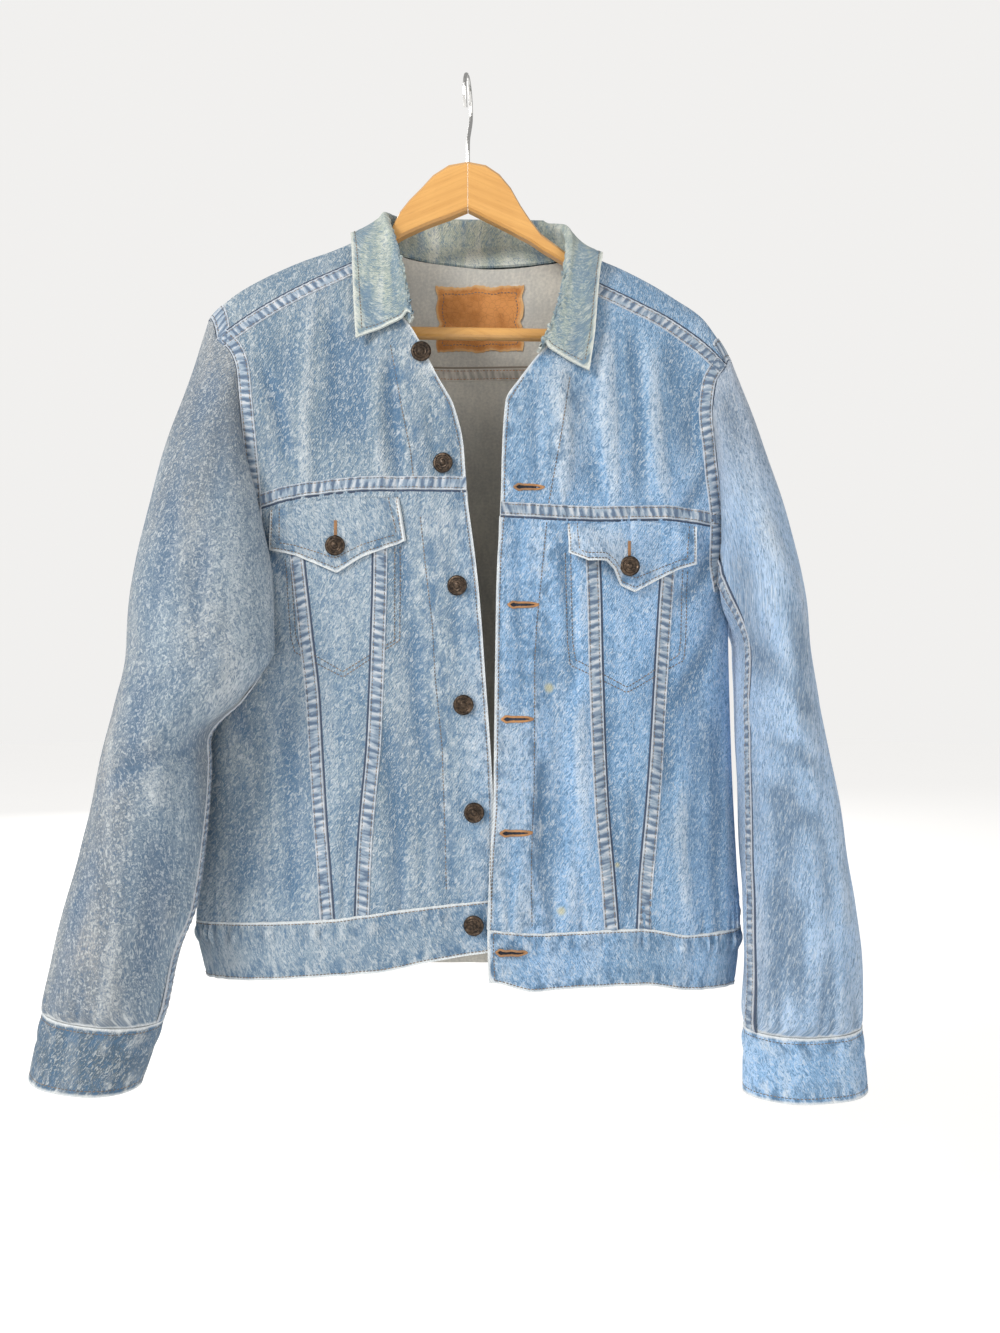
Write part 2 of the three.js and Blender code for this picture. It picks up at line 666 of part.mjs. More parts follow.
// Back yoke, over the shoulders from the front seams to the seam across the back
function backYoke() {
  const rightSeam = shoulderRoots("right");
  const leftSeam = (t) => shoulderRoots("left")(1 - t);
  const neckRoots = collarTable.slice(5, 12)
    .map(({ seam: [x, z] }) => [x, rootScale * yokeRoot(x, z, true)]);
  const neckPoints = [rightSeam(1), ...neckRoots, leftSeam(0)];
  const neckColumns = [0, 1].map((k) => smoothColumn(
    neckPoints.map((point, i) => ({ at: yokeNeckStops[i], value: point[k] })), "at", "value"));
  const neck = (at) => neckColumns.map((column) => column(at));
  const total = yokeColumns.arm * 2 + yokeColumns.neck;
  const top = (t) => {
    const at = t * total;
    if (at <= yokeColumns.arm) return rightSeam(at / yokeColumns.arm);
    if (at >= total - yokeColumns.arm) {
      return leftSeam((at - total + yokeColumns.arm) / yokeColumns.arm);
    }
    return neck(at - yokeColumns.arm);
  };
  const backAt = (x) => [x, rootScale * yokeRoot(x, yokeSeamBackZ, true)];
  const footX = smoothColumn([
    { at: 0, value: armholeBackX.right },
    { at: yokeColumns.arm, value: yokeFootX.right },
    { at: total - yokeColumns.arm, value: yokeFootX.left },
    { at: total, value: armholeBackX.left },
  ], "at", "value");
  const foot = (t) => backAt(footX(t * total));
  const side = (name) => {
    const start = shoulderRoots(name)(0);
    return curveThrough([start, [yokeArmTopX[name], 0], backAt(armholeBackX[name])]);
  };
  const inside = insideEdges(top, foot, side("right"), side("left"));
  const flat = (u, v) => {
    const [x, root] = inside(u, v);
    return [x, root / rootScale];
  };
  return panel("back_yoke", yokePoint, flat, fractions(backYokeRows), fractions(total));
}

const backColumns = { side: 8, centre: 12 };

const backTurn = (x, z) => [turnAt(x, z, true) * ringScale, z];

// Back edge of an armhole below the yoke seam, as [x, z]
function armholeBehind(side) {
  const sign = side === "right" ? -1 : 1;
  const x = armholeBackX[side];
  return [[x - sign * 4, -330], [x - sign * 3, -400], [x + sign * 4, -448],
    [sideX(side, sideSeamZ[side][0]), sideSeamZ[side][0]]];
}

const footTurn = (side) => turnAt((side === "right" ? -1 : 1) * backSeamFootX, bandBackZ, true);

// Back centre and back side panels
function backs() {
  const lift = (turn, z) => bodyPoint(turn, z);
  const seam = (side) => {
    const sign = side === "right" ? -1 : 1;
    return (v) => {
      const z = mix(yokeSeamBackZ, bandBackZ, v);
      return backTurn(sign * mix(backSeamTopX, backSeamFootX, v), z);
    };
  };
  const top = (from, to) => (t) => backTurn(mix(from, to, t), yokeSeamBackZ);
  const centre = ringPatch(top(-backSeamTopX, backSeamTopX),
    alongBand(footTurn("right"), footTurn("left")), seam("right"), seam("left"));
  panel("back_centre", lift, centre, fractions(lowerRows), fractions(backColumns.centre));
  return Object.fromEntries(["right", "left"].map((side) => {
    const sign = side === "right" ? -1 : 1;
    const armX = armholeBackX[side];
    const [pitZ, footZ] = sideSeamZ[side];
    const turn = side === "left" ? leftSide : rightSide;
    const armhole = curveThrough([backTurn(armX, yokeSeamBackZ),
      ...armholeBehind(side).slice(0, -1).map(([x, z]) => backTurn(x, z)), [turn * ringScale, pitZ]]);
    const outer = (v) => {
      if (v <= 0.5) return armhole(v * 2);
      return [turn * ringScale, mix(pitZ, footZ, v * 2 - 1)];
    };
    const foot = alongBand(turn, footTurn(side));
    const flat = ringPatch(top(armX, sign * backSeamTopX), foot, outer, seam(side));
    const made = panel(`back_side_${side}`, lift, flat, fractions(lowerRows),
      fractions(backColumns.side));
    return [side, made];
  }));
}

// Waistband round the body, from the left front edge to the right front edge
function waistband() {
  const flat = (turn, v) => [turn, mix(bandTop(turn), bandFoot(turn), v)];
  const counts = [frontColumns.centre, frontColumns.taper, frontColumns.side, backColumns.side,
    backColumns.centre, backColumns.side, frontColumns.side, frontColumns.taper,
    frontColumns.centre];
  const seams = [
    ...frontBandTurns("left").reverse(), footTurn("left"), footTurn("right"),
    ...frontBandTurns("right").map((turn) => turn + fullTurn),
  ];
  const stops = counts.flatMap((count, k) => (
    Array.from({ length: count }, (_, j) => mix(seams[k], seams[k + 1], j / count))));
  stops.push(seams.at(-1));
  const lift = (turn, z) => {
    const x = ringMiddle(z) + ringHalf(z) * Math.sin(turn);
    const start = turn < leftSide ? smoothstep(lapFrom.x, lapFull.x, x) : 0;
    return bodyPoint(turn, z, bandStand + lapLift * start);
  };
  return panel("waistband", lift, flat, fractions(bandRows), stops, {
    thickness: doubleCloth, gaps: { top: bandTopGap },
  });
}

// Points and normals round an armhole: up the front from the armpit, over the
// shoulder and down the back
function armholeLoop(side, front, yoke, back) {
  const column = (made, at) => made.grid.map((row, i) => ({
    point: row.at(at), normal: made.normals[i].at(at),
  }));
  const pitRow = Math.round(armholeRowShare * lowerRows);
  const under = column(front.lower[0], 0).slice(1, pitRow + 1).reverse();
  const frontYoke = column(front.yoke, 0).reverse();
  const over = column(yoke, side === "right" ? 0 : -1).slice(1);
  const behind = column(back, 0).slice(1, lowerRows / 2);
  return [...under, ...frontYoke, ...over, ...behind];
}

// Point of a sleeve section; share runs round from the underarm seam by the front
function sectionPoint(side, row, share, topShare, tilt = 0) {
  const inward = side === "right" ? 1 : -1;
  const degrees = share <= topShare
    ? mix(row.under, 180, share / topShare)
    : mix(180, row.under + 360, (share - topShare) / (1 - topShare));
  const angle = THREE.MathUtils.degToRad(degrees);
  const x = row.x + inward * row.wide * Math.cos(angle);
  return new THREE.Vector3(x, row.y - row.deep * Math.sin(angle), row.z + tilt * (x - row.x));
}

// Armhole's x by height, before and behind
const armholeX = (side, back) => smoothColumn((back
  ? [[armholeBackX[side], yokeSeamBackZ], ...armholeBehind(side)]
  : [...armholeFront[side], ...armholeUnderFront[side].slice(1)]
).map(([x, z]) => ({ x, z })), "z", "x");

// Keeps a sleeve point clear of the body: share says where it is round the sleeve
function clearOfBody(side, p, clear, share, topShare) {
  const outward = side === "right" ? -1 : 1;
  const inFront = share <= topShare;
  const pit = sideSeamZ[side][0];
  const edge = p.z > pit ? armholeX(side, !inFront)(p.z) : sideX(side, p.z);
  const nearSeam = share < underShare || share > 1 - underShare;
  if (nearSeam && p.z < pit) {
    p.x = outward * Math.max(outward * p.x, outward * edge + underClear);
    if (side === "right") p.y = Math.min(p.y, -underForward);
  } else if (outward * (edge - p.x) > 0) {
    const sine = (p.x - ringMiddle(p.z)) / ringHalf(p.z);
    const depth = depthAt(p.x, p.z, Math.sqrt(Math.max(1 - sine * sine, 0)), !inFront);
    p.y = inFront ? Math.min(p.y, -depth - clear) : Math.max(p.y, depth + clear);
  }
  if (side === "left" && p.z < pit) {
    const lens = Math.sqrt(Math.max(1 - (p.y / frontDepth) ** 2, 0));
    p.x = Math.max(p.x, ringMiddle(p.z) + ringHalf(p.z) * lens + clear / 2);
  }
  return p;
}

// Rings of a sleeve from the armhole to the cuff
function sleeveRings(side, loop) {
  const table = sleeveTable[side];
  const lengths = [0];
  loop.slice(1).forEach(({ point }, i) => {
    lengths.push(lengths[i] + point.distanceTo(loop[i].point));
  });
  const around = lengths.at(-1) + loop[0].point.distanceTo(loop.at(-1).point);
  const top = loop.reduce((best, { point }, i) => (point.z > loop[best].point.z ? i : best), 0);
  const shares = lengths.map((length) => length / around);
  const down = new THREE.Vector3(0, 0, -1);
  const rings = [loop.map(({ point, normal }) => point.clone().addScaledVector(normal, sleeveSeat))];
  for (let k = 1; k <= blendRings; k += 1) {
    const w = k / blendRings;
    rings.push(loop.map(({ point }, i) => {
      const inFront = shares[i] <= shares[top];
      const section = sectionPoint(side, table[0], shares[i], shares[top]);
      const middle = new THREE.Vector3(table[0].x, table[0].y, section.z);
      const radial = section.clone().sub(middle).normalize();
      const reach = point.distanceTo(section);
      const spread = inFront ? mix(0.8, 0.25, shares[i] / shares[top]) : 0.25;
      const leave = radial.multiplyScalar(spread).addScaledVector(down, 0.75).multiplyScalar(reach);
      const place = new THREE.Vector3(...["x", "y", "z"].map((axis) => hermite(
        point[axis], leave[axis], section[axis], down[axis] * reach, w)));
      return clearOfBody(side, place, sleeveClear * smoothstep(-0.3, 0.1, w),
        shares[i], shares[top]);
    }));
  }
  for (const row of table.slice(1)) {
    const tilt = row === table.at(-1) ? cuffTable[side].tilt : 0;
    rings.push(shares.map((share) => clearOfBody(
      side, sectionPoint(side, row, share, shares[top], tilt), sleeveClear, share,
      shares[top])));
  }
  return { rings, shares, topShare: shares[top] };
}

// Outward normals of rings that close on themselves
function ringNormals(rings, side) {
  const count = rings[0].length;
  return rings.map((ring, i) => ring.map((_, j) => {
    const above = rings[Math.max(i - 1, 0)][j];
    const below = rings[Math.min(i + 1, rings.length - 1)][j];
    const across = ring[(j + 1) % count].clone().sub(ring[(j + count - 1) % count]);
    return across.cross(below.clone().sub(above)).normalize().multiplyScalar(side);
  }));
}

const sleeveGaps = { top: 0.25, foot: 0.15, from: 0.15, to: 0.15 };

// Ring where the left under sleeve is parted, so that its collision follows the arm's hollow
const underSleeveParting = { left: 11 };

// Sleeve of two pieces, joined by an underarm seam and a seam behind the elbow
function sleeve(side, loop) {
  const sign = side === "right" ? 1 : -1;
  const { rings, shares, topShare } = sleeveRings(side, loop);
  const normals = ringNormals(rings, sign);
  normals[0] = loop.map(({ normal }, j) => (normal.dot(normals[0][j]) > 0 ? normal : normals[0][j]));
  normals.at(-1).forEach((normal) => normal.setZ(0).normalize());
  const count = shares.length;
  const first = shares.findIndex((share) => share > topSleeveFrom);
  const last = shares.findIndex((share) => share > topSleeveTo);
  const stations = (from, to) => Array.from({ length: to - from + 1 }, (_, k) => (from + k) % count);
  const pieces = { top_sleeve: stations(first, last), under_sleeve: stations(last, first + count) };
  for (const [name, list] of Object.entries(pieces)) {
    const grid = rings.map((ring) => list.map((j) => ring[j]));
    const outward = normals.map((ring) => list.map((j) => ring[j]));
    const parting = name === "under_sleeve" ? underSleeveParting[side] : undefined;
    const addSpan = (label, from, to) => {
      const drawn = drawIn(grid.slice(from, to), sleeveGaps);
      addPiece(label, wall(drawn, outward.slice(from, to), singleCloth), denim);
    };
    addSpan(`${name}_${side}`, 0, parting === undefined ? grid.length : parting + 1);
    if (parting !== undefined) addSpan(`${name}_${side}_lower`, parting, grid.length);
  }
  return { shares, topShare };
}

const cuffRows = 3;
const cuffStand = 0.6;
const cuffDrop = 0.5;
const cuffButtonShare = 0.08;

// Cuff as a closed band below the sleeve
function cuff(side, { shares, topShare }) {
  const sign = side === "right" ? 1 : -1;
  const { foot, tilt } = cuffTable[side];
  const head = sleeveTable[side].at(-1);
  const rings = fractions(cuffRows).map((v) => {
    const row = Object.fromEntries(
      Object.keys(foot).map((key) => [key, mix(head[key], foot[key], v)]));
    row.wide += cuffStand;
    row.deep += cuffStand;
    if (v === 0) row.z -= cuffDrop;
    return shares.map((share) => sectionPoint(side, row, share, topShare, tilt));
  });
  const normals = ringNormals(rings, sign);
  normals[0].forEach((normal) => normal.setZ(0).normalize());
  addPiece(`cuff_${side}`, closedBand(rings, normals, doubleCloth), denim);
  const buttonShare = shares.findIndex((share) => share > topShare + cuffButtonShare);
  const middle = Math.round(cuffRows / 2);
  const place = rings[middle - 1][buttonShare].clone().lerp(rings[middle][buttonShare], 0.5);
  button(`cuff_button_${side}`, place, normals[middle][buttonShare]);
}

// Closed wall of rings that meet themselves
function closedBand(rings, normals, thickness) {
  const rows = rings.length;
  const count = rings[0].length;
  const positions = [];
  const add = (p) => positions.push(p.x, p.y, p.z) / 3 - 1;
  const outside = rings.map((ring) => ring.map(add));
  const inside = rings.map((ring, i) => ring.map((p, j) => (
    add(p.clone().addScaledVector(normals[i][j], -thickness)))));
  const faces = [];
  const quad = (a, b, c, d) => faces.push(a, b, c, a, c, d);
  for (let j = 0; j < count; j += 1) {
    const k = (j + 1) % count;
    for (let i = 0; i < rows - 1; i += 1) {
      quad(outside[i][j], outside[i][k], outside[i + 1][k], outside[i + 1][j]);
      quad(inside[i][j], inside[i + 1][j], inside[i + 1][k], inside[i][k]);
    }
    quad(outside[0][j], inside[0][j], inside[0][k], outside[0][k]);
    quad(outside[rows - 1][j], outside[rows - 1][k], inside[rows - 1][k], inside[rows - 1][j]);
  }
  return facingOut(positions, faces);
}

// Tack button with a raised rim and a nub
function button(name, place, normal) {
  const profile = buttonProfile.map(({ radius, height }) => new THREE.Vector2(radius, height));
  const geometry = new THREE.LatheGeometry(profile, buttonSides);
  const piece = addPiece(name, geometry, bronze);
  piece.quaternion.setFromUnitVectors(new THREE.Vector3(0, 1, 0), normal.clone().normalize());
  piece.position.copy(place).addScaledVector(normal, buttonGap);
  return piece;
}

// Outer point and normal of the front at x, z, moved out
function frontPlace(x, z, out = 0) {
  const step = 1;
  const at = (dx, dz) => bodyPoint(turnAt(x + dx, z + dz), z + dz);
  const across = at(step, 0).sub(at(-step, 0));
  const up = at(0, step).sub(at(0, -step));
  const normal = across.cross(up).normalize();
  if (normal.y > 0) normal.negate();
  return { place: at(0, 0).addScaledVector(normal, out), normal };
}

const flapRows = 4;
const flapColumns = 8;
const flapTopShare = 0.04;

// Pointed flap over the breast pocket, under the yoke seam
function pocketFlap(side) {
  const { top, foot, curl } = flapTable[side];
  const inside = insideEdges(
    curveThrough(top), cornered(foot),
    (v) => [mix(top[0][0], foot[0][0], v), mix(top[0][1], foot[0][1], v)],
    (v) => [mix(top.at(-1)[0], foot.at(-1)[0], v), mix(top.at(-1)[1], foot.at(-1)[1], v)]);
  const out = (x, z) => flapLift + doubleCloth
    + curl.high * Math.exp(-(((x - curl.x) / curl.wide) ** 2) - ((z - curl.z) / curl.wide) ** 2);
  const grid = fractions(flapRows).map((v) => fractions(flapColumns).map((u) => {
    const [x, z] = inside(u, mix(flapTopShare, 1, v));
    return frontPlace(x, z, out(x, z)).place;
  }));
  const normals = gridNormals(grid, side === "right" ? 1 : -1);
  const front = normals[1][4].y < 0 ? 1 : -1;
  normals.flat().forEach((normal) => normal.multiplyScalar(front));
  addPiece(`pocket_flap_${side}`, wall(grid, normals, doubleCloth), denim);
  const [x, z] = flapButtons[side];
  const { place, normal } = frontPlace(x, z, out(x, z) + flapButtonGap[side]);
  button(`flap_button_${side}`, place, normal);
}

// Broken line through points, by its length
function cornered(points) {
  const lengths = [0];
  points.slice(1).forEach((p, i) => {
    lengths.push(lengths[i] + Math.hypot(p[0] - points[i][0], p[1] - points[i][1]));
  });
  return (t) => {
    const at = t * lengths.at(-1);
    let i = 0;
    while (i < points.length - 2 && at > lengths[i + 1]) i += 1;
    const share = (at - lengths[i]) / (lengths[i + 1] - lengths[i]);
    return points[i].map((value, k) => mix(value, points[i + 1][k], share));
  };
}

// Outward normal of the yoke's surface
function yokeNormal(x, root) {
  const step = 0.02;
  const across = yokePoint(x + step * 20, root).sub(yokePoint(x - step * 20, root));
  const over = yokePoint(x, root + step).sub(yokePoint(x, root - step));
  return across.cross(over).normalize();
}

const collarStations = 32;
// Stops across the collar: 0 the neck seam, 2 the crown of the roll, 4 the free edge
const collarCuts = [0, 0.5, 1, 1.5, 2, 2.5, 3, 3.4, 3.7, 4];

// Collar: stand, roll and fall as one folded double cloth
function collar() {
  const rows = collarTable.map(({ seam, face, roll, edge, edgeOff }) => {
    const back = face < 0;
    const seamRoot = yokeRoot(...seam, back);
    const edgeRoot = yokeRoot(...edge, back);
    const foot = yokePoint(seam[0], seamRoot);
    const inner = new THREE.Vector3(...roll).add(new THREE.Vector3(0, 0, -rollRadius));
    foot.addScaledVector(inner.clone().sub(foot).normalize(), collarStandGap);
    const free = yokePoint(edge[0], edgeRoot).addScaledVector(yokeNormal(edge[0], edgeRoot), edgeOff);
    const outward = free.clone().sub(new THREE.Vector3(...roll)).setZ(0).normalize();
    const crown = new THREE.Vector3(...roll).addScaledVector(outward, rollRadius);
    const outer = inner.clone().addScaledVector(outward, 2 * rollRadius);
    return [foot, inner, crown, outer, free].flatMap((p) => p.toArray());
  });
  const lengthwise = rows[0].map((_, k) => smoothColumn(
    rows.map((row, i) => ({ at: i / (rows.length - 1), value: row[k] })), "at", "value"));
  const grid = fractions(collarStations).map((t) => {
    const flat = lengthwise.map((column) => column(t));
    const points = [0, 1, 2, 3, 4].map((k) => flat.slice(k * 3, k * 3 + 3));
    const columns = [0, 1, 2].map((axis) => smoothColumn(
      points.map((p, k) => ({ at: k, value: p[axis] })), "at", "value"));
    return collarCuts.map((cut) => new THREE.Vector3(...columns.map((column) => column(cut))));
  });
  const normals = gridNormals(grid, 1);
  const crown = normals[collarStations / 2][collarCuts.indexOf(2)];
  if (crown.z < 0) normals.flat().forEach((normal) => normal.negate());
  grid.forEach((row, i) => row.forEach((p, j) => {
    p.addScaledVector(normals[i][j], collarCloth * Math.max(1 - collarCuts[j], 0));
  }));
  addPiece("collar", wall(grid, normals, collarCloth), paleDenim);
}

const patchGap = 0.5;

// Plain leather patch on the inside of the back yoke
function leatherPatch() {
  const grid = fractions(patch.rows).map((v) => fractions(patch.columns).map((u) => {
    const x = patch.x + patch.width * (u - 0.5);
    const root = yokeRoot(x, mix(patch.top, patch.foot, v), true);
    return yokePoint(x, root).addScaledVector(yokeNormal(x, root), -(singleCloth + patchGap));
  }));
  const normals = gridNormals(grid, 1);
  if (normals[1][1].y < 0) normals.flat().forEach((normal) => normal.negate());
  addPiece("leather_patch", wall(grid, normals, patch.thick), tan);
}

// Wooden arm: chamfered sections from the middle to the tip
function hangerArm(side) {
  const sign = side === "right" ? -1 : 1;
  const half = armThickness / 2;
  const sections = armTable[side].map(({ x, top, foot }) => {
    const at = x === 0 ? sign * armMiddleGap : x;
    const head = Math.abs(x) > armUnderCloth ? ridge(x) - armTopDrop : top;
    return [
      [half, foot + armBottomChamfer], [half, head - armTopChamfer],
      [half - armTopChamfer, head], [armTopChamfer - half, head],
      [-half, head - armTopChamfer], [-half, foot + armBottomChamfer],
      [armBottomChamfer - half, foot], [half - armBottomChamfer, foot],
    ].map(([y, z]) => [at, y, z]);
  });
  addPiece(`hanger_arm_${side}`, loft(sections), beech);
}

// Closed solid through sections with the same number of corners
function loft(sections) {
  const positions = sections.flat(2);
  const count = sections[0].length;
  const faces = [];
  for (let i = 0; i < sections.length - 1; i += 1) {
    for (let j = 0; j < count; j += 1) {
      const k = (j + 1) % count;
      const [a, b, c, d] = [i * count + j, i * count + k, (i + 1) * count + k, (i + 1) * count + j];
      faces.push(a, b, c, a, c, d);
    }
  }
  const last = (sections.length - 1) * count;
  for (let j = 1; j < count - 1; j += 1) {
    faces.push(0, j + 1, j);
    faces.push(last, last + j, last + j + 1);
  }
  return facingOut(positions, faces);
}

function trouserBar() {
  const length = bar.left - bar.right;
  const geometry = new THREE.CylinderGeometry(barRadius, barRadius, length, barSides);
  const piece = addPiece("trouser_bar", geometry, beech);
  piece.rotation.z = Math.PI / 2;
  const holder = new THREE.Group();
  holder.rotation.y = -Math.atan(bar.tilt);
  const middle = (bar.left + bar.right) / 2;
  holder.position.set(middle, 0, bar.z + bar.tilt * middle);
  holder.add(piece);
  group.add(holder);
}

// Wire hook: a shaft out of the wood, bent back and over the rail
function hook() {
  const wire = hookRadius + wireRadius;
  const middle = -hookRadius;
  const loop = hookTurns.map((turn) => {
    const angle = THREE.MathUtils.degToRad(turn);
    return new THREE.Vector3(0, wire * Math.cos(angle), middle + wire * Math.sin(angle));
  });
  const path = new THREE.CatmullRomCurve3(
    [...hookShaft.map(([y, z]) => new THREE.Vector3(0, y, z)), ...loop], false, "centripetal");
  const circle = Array.from({ length: wireSides }, (_, i) => {
    const angle = (i / wireSides) * 2 * Math.PI;
    return new THREE.Vector2(wireRadius * Math.cos(angle), wireRadius * Math.sin(angle));
  });
  const geometry = new THREE.ExtrudeGeometry(new THREE.Shape(circle), {
    steps: wireSteps, extrudePath: path, bevelEnabled: false,
  });
  const piece = addPiece("hook", geometry, steel);
  piece.rotation.z = THREE.MathUtils.degToRad(hookYaw);
}

const front = Object.fromEntries(["right", "left"].map((side) => [side, fronts(side)]));
const overShoulders = backYoke();
const behind = backs();
waistband();
for (const side of ["right", "left"]) {
  const loop = armholeLoop(side, front[side], overShoulders, behind[side]);
  cuff(side, sleeve(side, loop));
  pocketFlap(side);
  hangerArm(side);
}
for (const [name, x, z] of frontButtons) {
  const { place, normal } = frontPlace(x, z);
  button(`front_button_${name}`, place, normal);
}
const band = frontPlace(...bandButton, bandStand);
button("band_button", band.place, band.normal);
collar();
leatherPatch();
trouserBar();
hook();

export default group;
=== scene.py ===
"""Denim jacket hanging open on a wooden hanger, dressed over its packed solids.

Lengths in the tables are millimetres; meshes are made in metres. The origin is where
the hook bears on its rail, +Z is up and the jacket's front faces -Y. "Right" and
"left" are the wearer's, so the right front, with the buttons, is on the -X side.
"""

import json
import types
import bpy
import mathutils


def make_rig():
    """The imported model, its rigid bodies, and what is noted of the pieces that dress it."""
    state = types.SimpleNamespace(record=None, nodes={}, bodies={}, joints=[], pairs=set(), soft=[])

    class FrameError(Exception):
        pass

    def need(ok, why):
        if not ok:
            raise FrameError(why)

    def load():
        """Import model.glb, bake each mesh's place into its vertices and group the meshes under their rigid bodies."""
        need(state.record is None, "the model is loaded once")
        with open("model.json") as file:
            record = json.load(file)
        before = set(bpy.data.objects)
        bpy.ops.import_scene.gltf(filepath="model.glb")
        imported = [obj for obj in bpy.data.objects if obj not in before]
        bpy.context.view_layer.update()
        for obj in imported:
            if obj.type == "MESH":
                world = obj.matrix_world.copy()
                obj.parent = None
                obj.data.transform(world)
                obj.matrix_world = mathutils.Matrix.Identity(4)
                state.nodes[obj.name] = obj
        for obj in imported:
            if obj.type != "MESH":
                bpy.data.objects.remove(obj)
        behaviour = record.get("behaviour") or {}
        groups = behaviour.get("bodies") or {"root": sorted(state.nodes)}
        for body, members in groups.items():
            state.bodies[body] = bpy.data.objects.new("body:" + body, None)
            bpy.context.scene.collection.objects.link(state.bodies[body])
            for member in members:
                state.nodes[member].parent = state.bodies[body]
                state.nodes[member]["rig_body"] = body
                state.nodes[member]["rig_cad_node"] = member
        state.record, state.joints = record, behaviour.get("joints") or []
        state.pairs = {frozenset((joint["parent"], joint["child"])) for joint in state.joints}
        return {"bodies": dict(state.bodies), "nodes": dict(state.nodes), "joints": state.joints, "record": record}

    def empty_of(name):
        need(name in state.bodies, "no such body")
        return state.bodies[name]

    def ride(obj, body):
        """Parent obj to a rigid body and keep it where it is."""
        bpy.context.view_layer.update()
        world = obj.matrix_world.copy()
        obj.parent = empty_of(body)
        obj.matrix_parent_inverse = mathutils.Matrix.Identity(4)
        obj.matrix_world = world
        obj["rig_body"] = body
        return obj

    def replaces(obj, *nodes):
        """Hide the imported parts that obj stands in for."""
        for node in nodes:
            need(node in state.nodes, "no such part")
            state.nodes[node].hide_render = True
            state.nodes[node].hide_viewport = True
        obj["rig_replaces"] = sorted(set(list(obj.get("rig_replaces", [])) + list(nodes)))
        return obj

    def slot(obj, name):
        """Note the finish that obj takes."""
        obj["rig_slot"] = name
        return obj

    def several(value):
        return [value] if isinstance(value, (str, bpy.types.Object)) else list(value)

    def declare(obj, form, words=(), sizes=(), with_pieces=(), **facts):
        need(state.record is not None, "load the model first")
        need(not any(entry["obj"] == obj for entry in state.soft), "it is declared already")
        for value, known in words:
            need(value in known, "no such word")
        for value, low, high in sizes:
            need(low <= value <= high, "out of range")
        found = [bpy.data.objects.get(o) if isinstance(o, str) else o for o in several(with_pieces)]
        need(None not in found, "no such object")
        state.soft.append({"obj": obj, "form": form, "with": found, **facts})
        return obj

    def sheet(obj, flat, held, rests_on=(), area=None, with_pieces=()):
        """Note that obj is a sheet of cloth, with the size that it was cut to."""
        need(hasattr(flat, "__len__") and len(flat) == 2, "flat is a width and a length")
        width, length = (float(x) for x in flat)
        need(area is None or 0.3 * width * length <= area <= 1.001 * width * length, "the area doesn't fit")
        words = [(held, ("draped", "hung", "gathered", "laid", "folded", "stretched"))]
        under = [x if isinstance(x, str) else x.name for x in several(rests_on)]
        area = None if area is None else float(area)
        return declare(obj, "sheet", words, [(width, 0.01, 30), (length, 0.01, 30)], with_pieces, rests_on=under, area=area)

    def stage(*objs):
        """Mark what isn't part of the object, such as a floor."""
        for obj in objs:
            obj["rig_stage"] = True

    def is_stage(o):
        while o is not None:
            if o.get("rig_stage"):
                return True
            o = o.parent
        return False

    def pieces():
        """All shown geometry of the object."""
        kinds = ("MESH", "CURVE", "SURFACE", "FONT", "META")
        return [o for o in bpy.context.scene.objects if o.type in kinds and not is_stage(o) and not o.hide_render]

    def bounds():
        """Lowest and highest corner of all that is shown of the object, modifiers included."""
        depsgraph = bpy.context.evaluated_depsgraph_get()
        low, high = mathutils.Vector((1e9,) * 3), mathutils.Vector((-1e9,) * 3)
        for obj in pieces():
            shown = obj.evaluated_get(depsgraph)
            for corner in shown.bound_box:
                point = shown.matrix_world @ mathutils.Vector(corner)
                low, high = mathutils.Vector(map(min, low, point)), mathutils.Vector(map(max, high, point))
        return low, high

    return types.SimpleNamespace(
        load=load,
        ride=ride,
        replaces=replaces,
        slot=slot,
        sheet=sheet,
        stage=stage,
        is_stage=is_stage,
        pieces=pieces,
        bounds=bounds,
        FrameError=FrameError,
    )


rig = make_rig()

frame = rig.load()
CAD_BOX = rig.bounds()

import json
import math

import bmesh
import bpy
import numpy as np
from bpy.props import FloatProperty, FloatVectorProperty, PointerProperty
from mathutils import Matrix, Vector

bl_info = {
    "name": "Denim jacket on a hanger",
    "version": (1, 0, 0),
    "blender": (4, 5, 0),
    "location": "View3D > Sidebar > Jacket",
    "description": "Builds the cloth, sewing, buttons and hanger finish of a hanging jacket",
    "category": "Object",
}

MM = 0.001
SIDES = ("right", "left")
OUTWARD = {"right": -1, "left": 1}

# Body ring, as in the solids
FRONT_DEPTH = 54
BACK_DEPTH = 46
RIDGE_ROUND = 8
RIDGE_SLOPE = 0.25
NECK_BULGE = 12
NECK_BULGE_Z = -150
NECK_BULGE_WIDE = 85
NECK_BULGE_TALL = 70
NECK_BULGE_BACK = 3
LAP_LIFT = 5
LAP_FROM = (95, -540)
LAP_FULL = (40, -630)
RING_SCALE = 200
ROOT_SCALE = 10
LEFT_SIDE = math.pi / 2
RIGHT_SIDE = 3 * math.pi / 2
FULL_TURN = 2 * math.pi

# Height, right side, left side
SIDE_TABLE = [
    (-810, -230, 235), (-795, -232, 237), (-748, -241, 242), (-700, -237, 239),
    (-600, -231, 234), (-470, -226, 231), (-400, -236, 240), (-300, -252, 254),
    (-230, -264, 264), (-100, -275, 275),
]
# Ridge of the shoulders: x, z
RIDGE_TABLE = [
    (-262, -262), (-237, -224), (-222, -206), (-206, -192), (-180, -177), (-146, -162),
    (-120, -153), (-99, -144), (-60, -126), (0, -116), (60, -130), (115, -160),
    (136, -169), (165, -184), (184, -196), (206, -211), (222, -232), (236, -256),
    (262, -300),
]
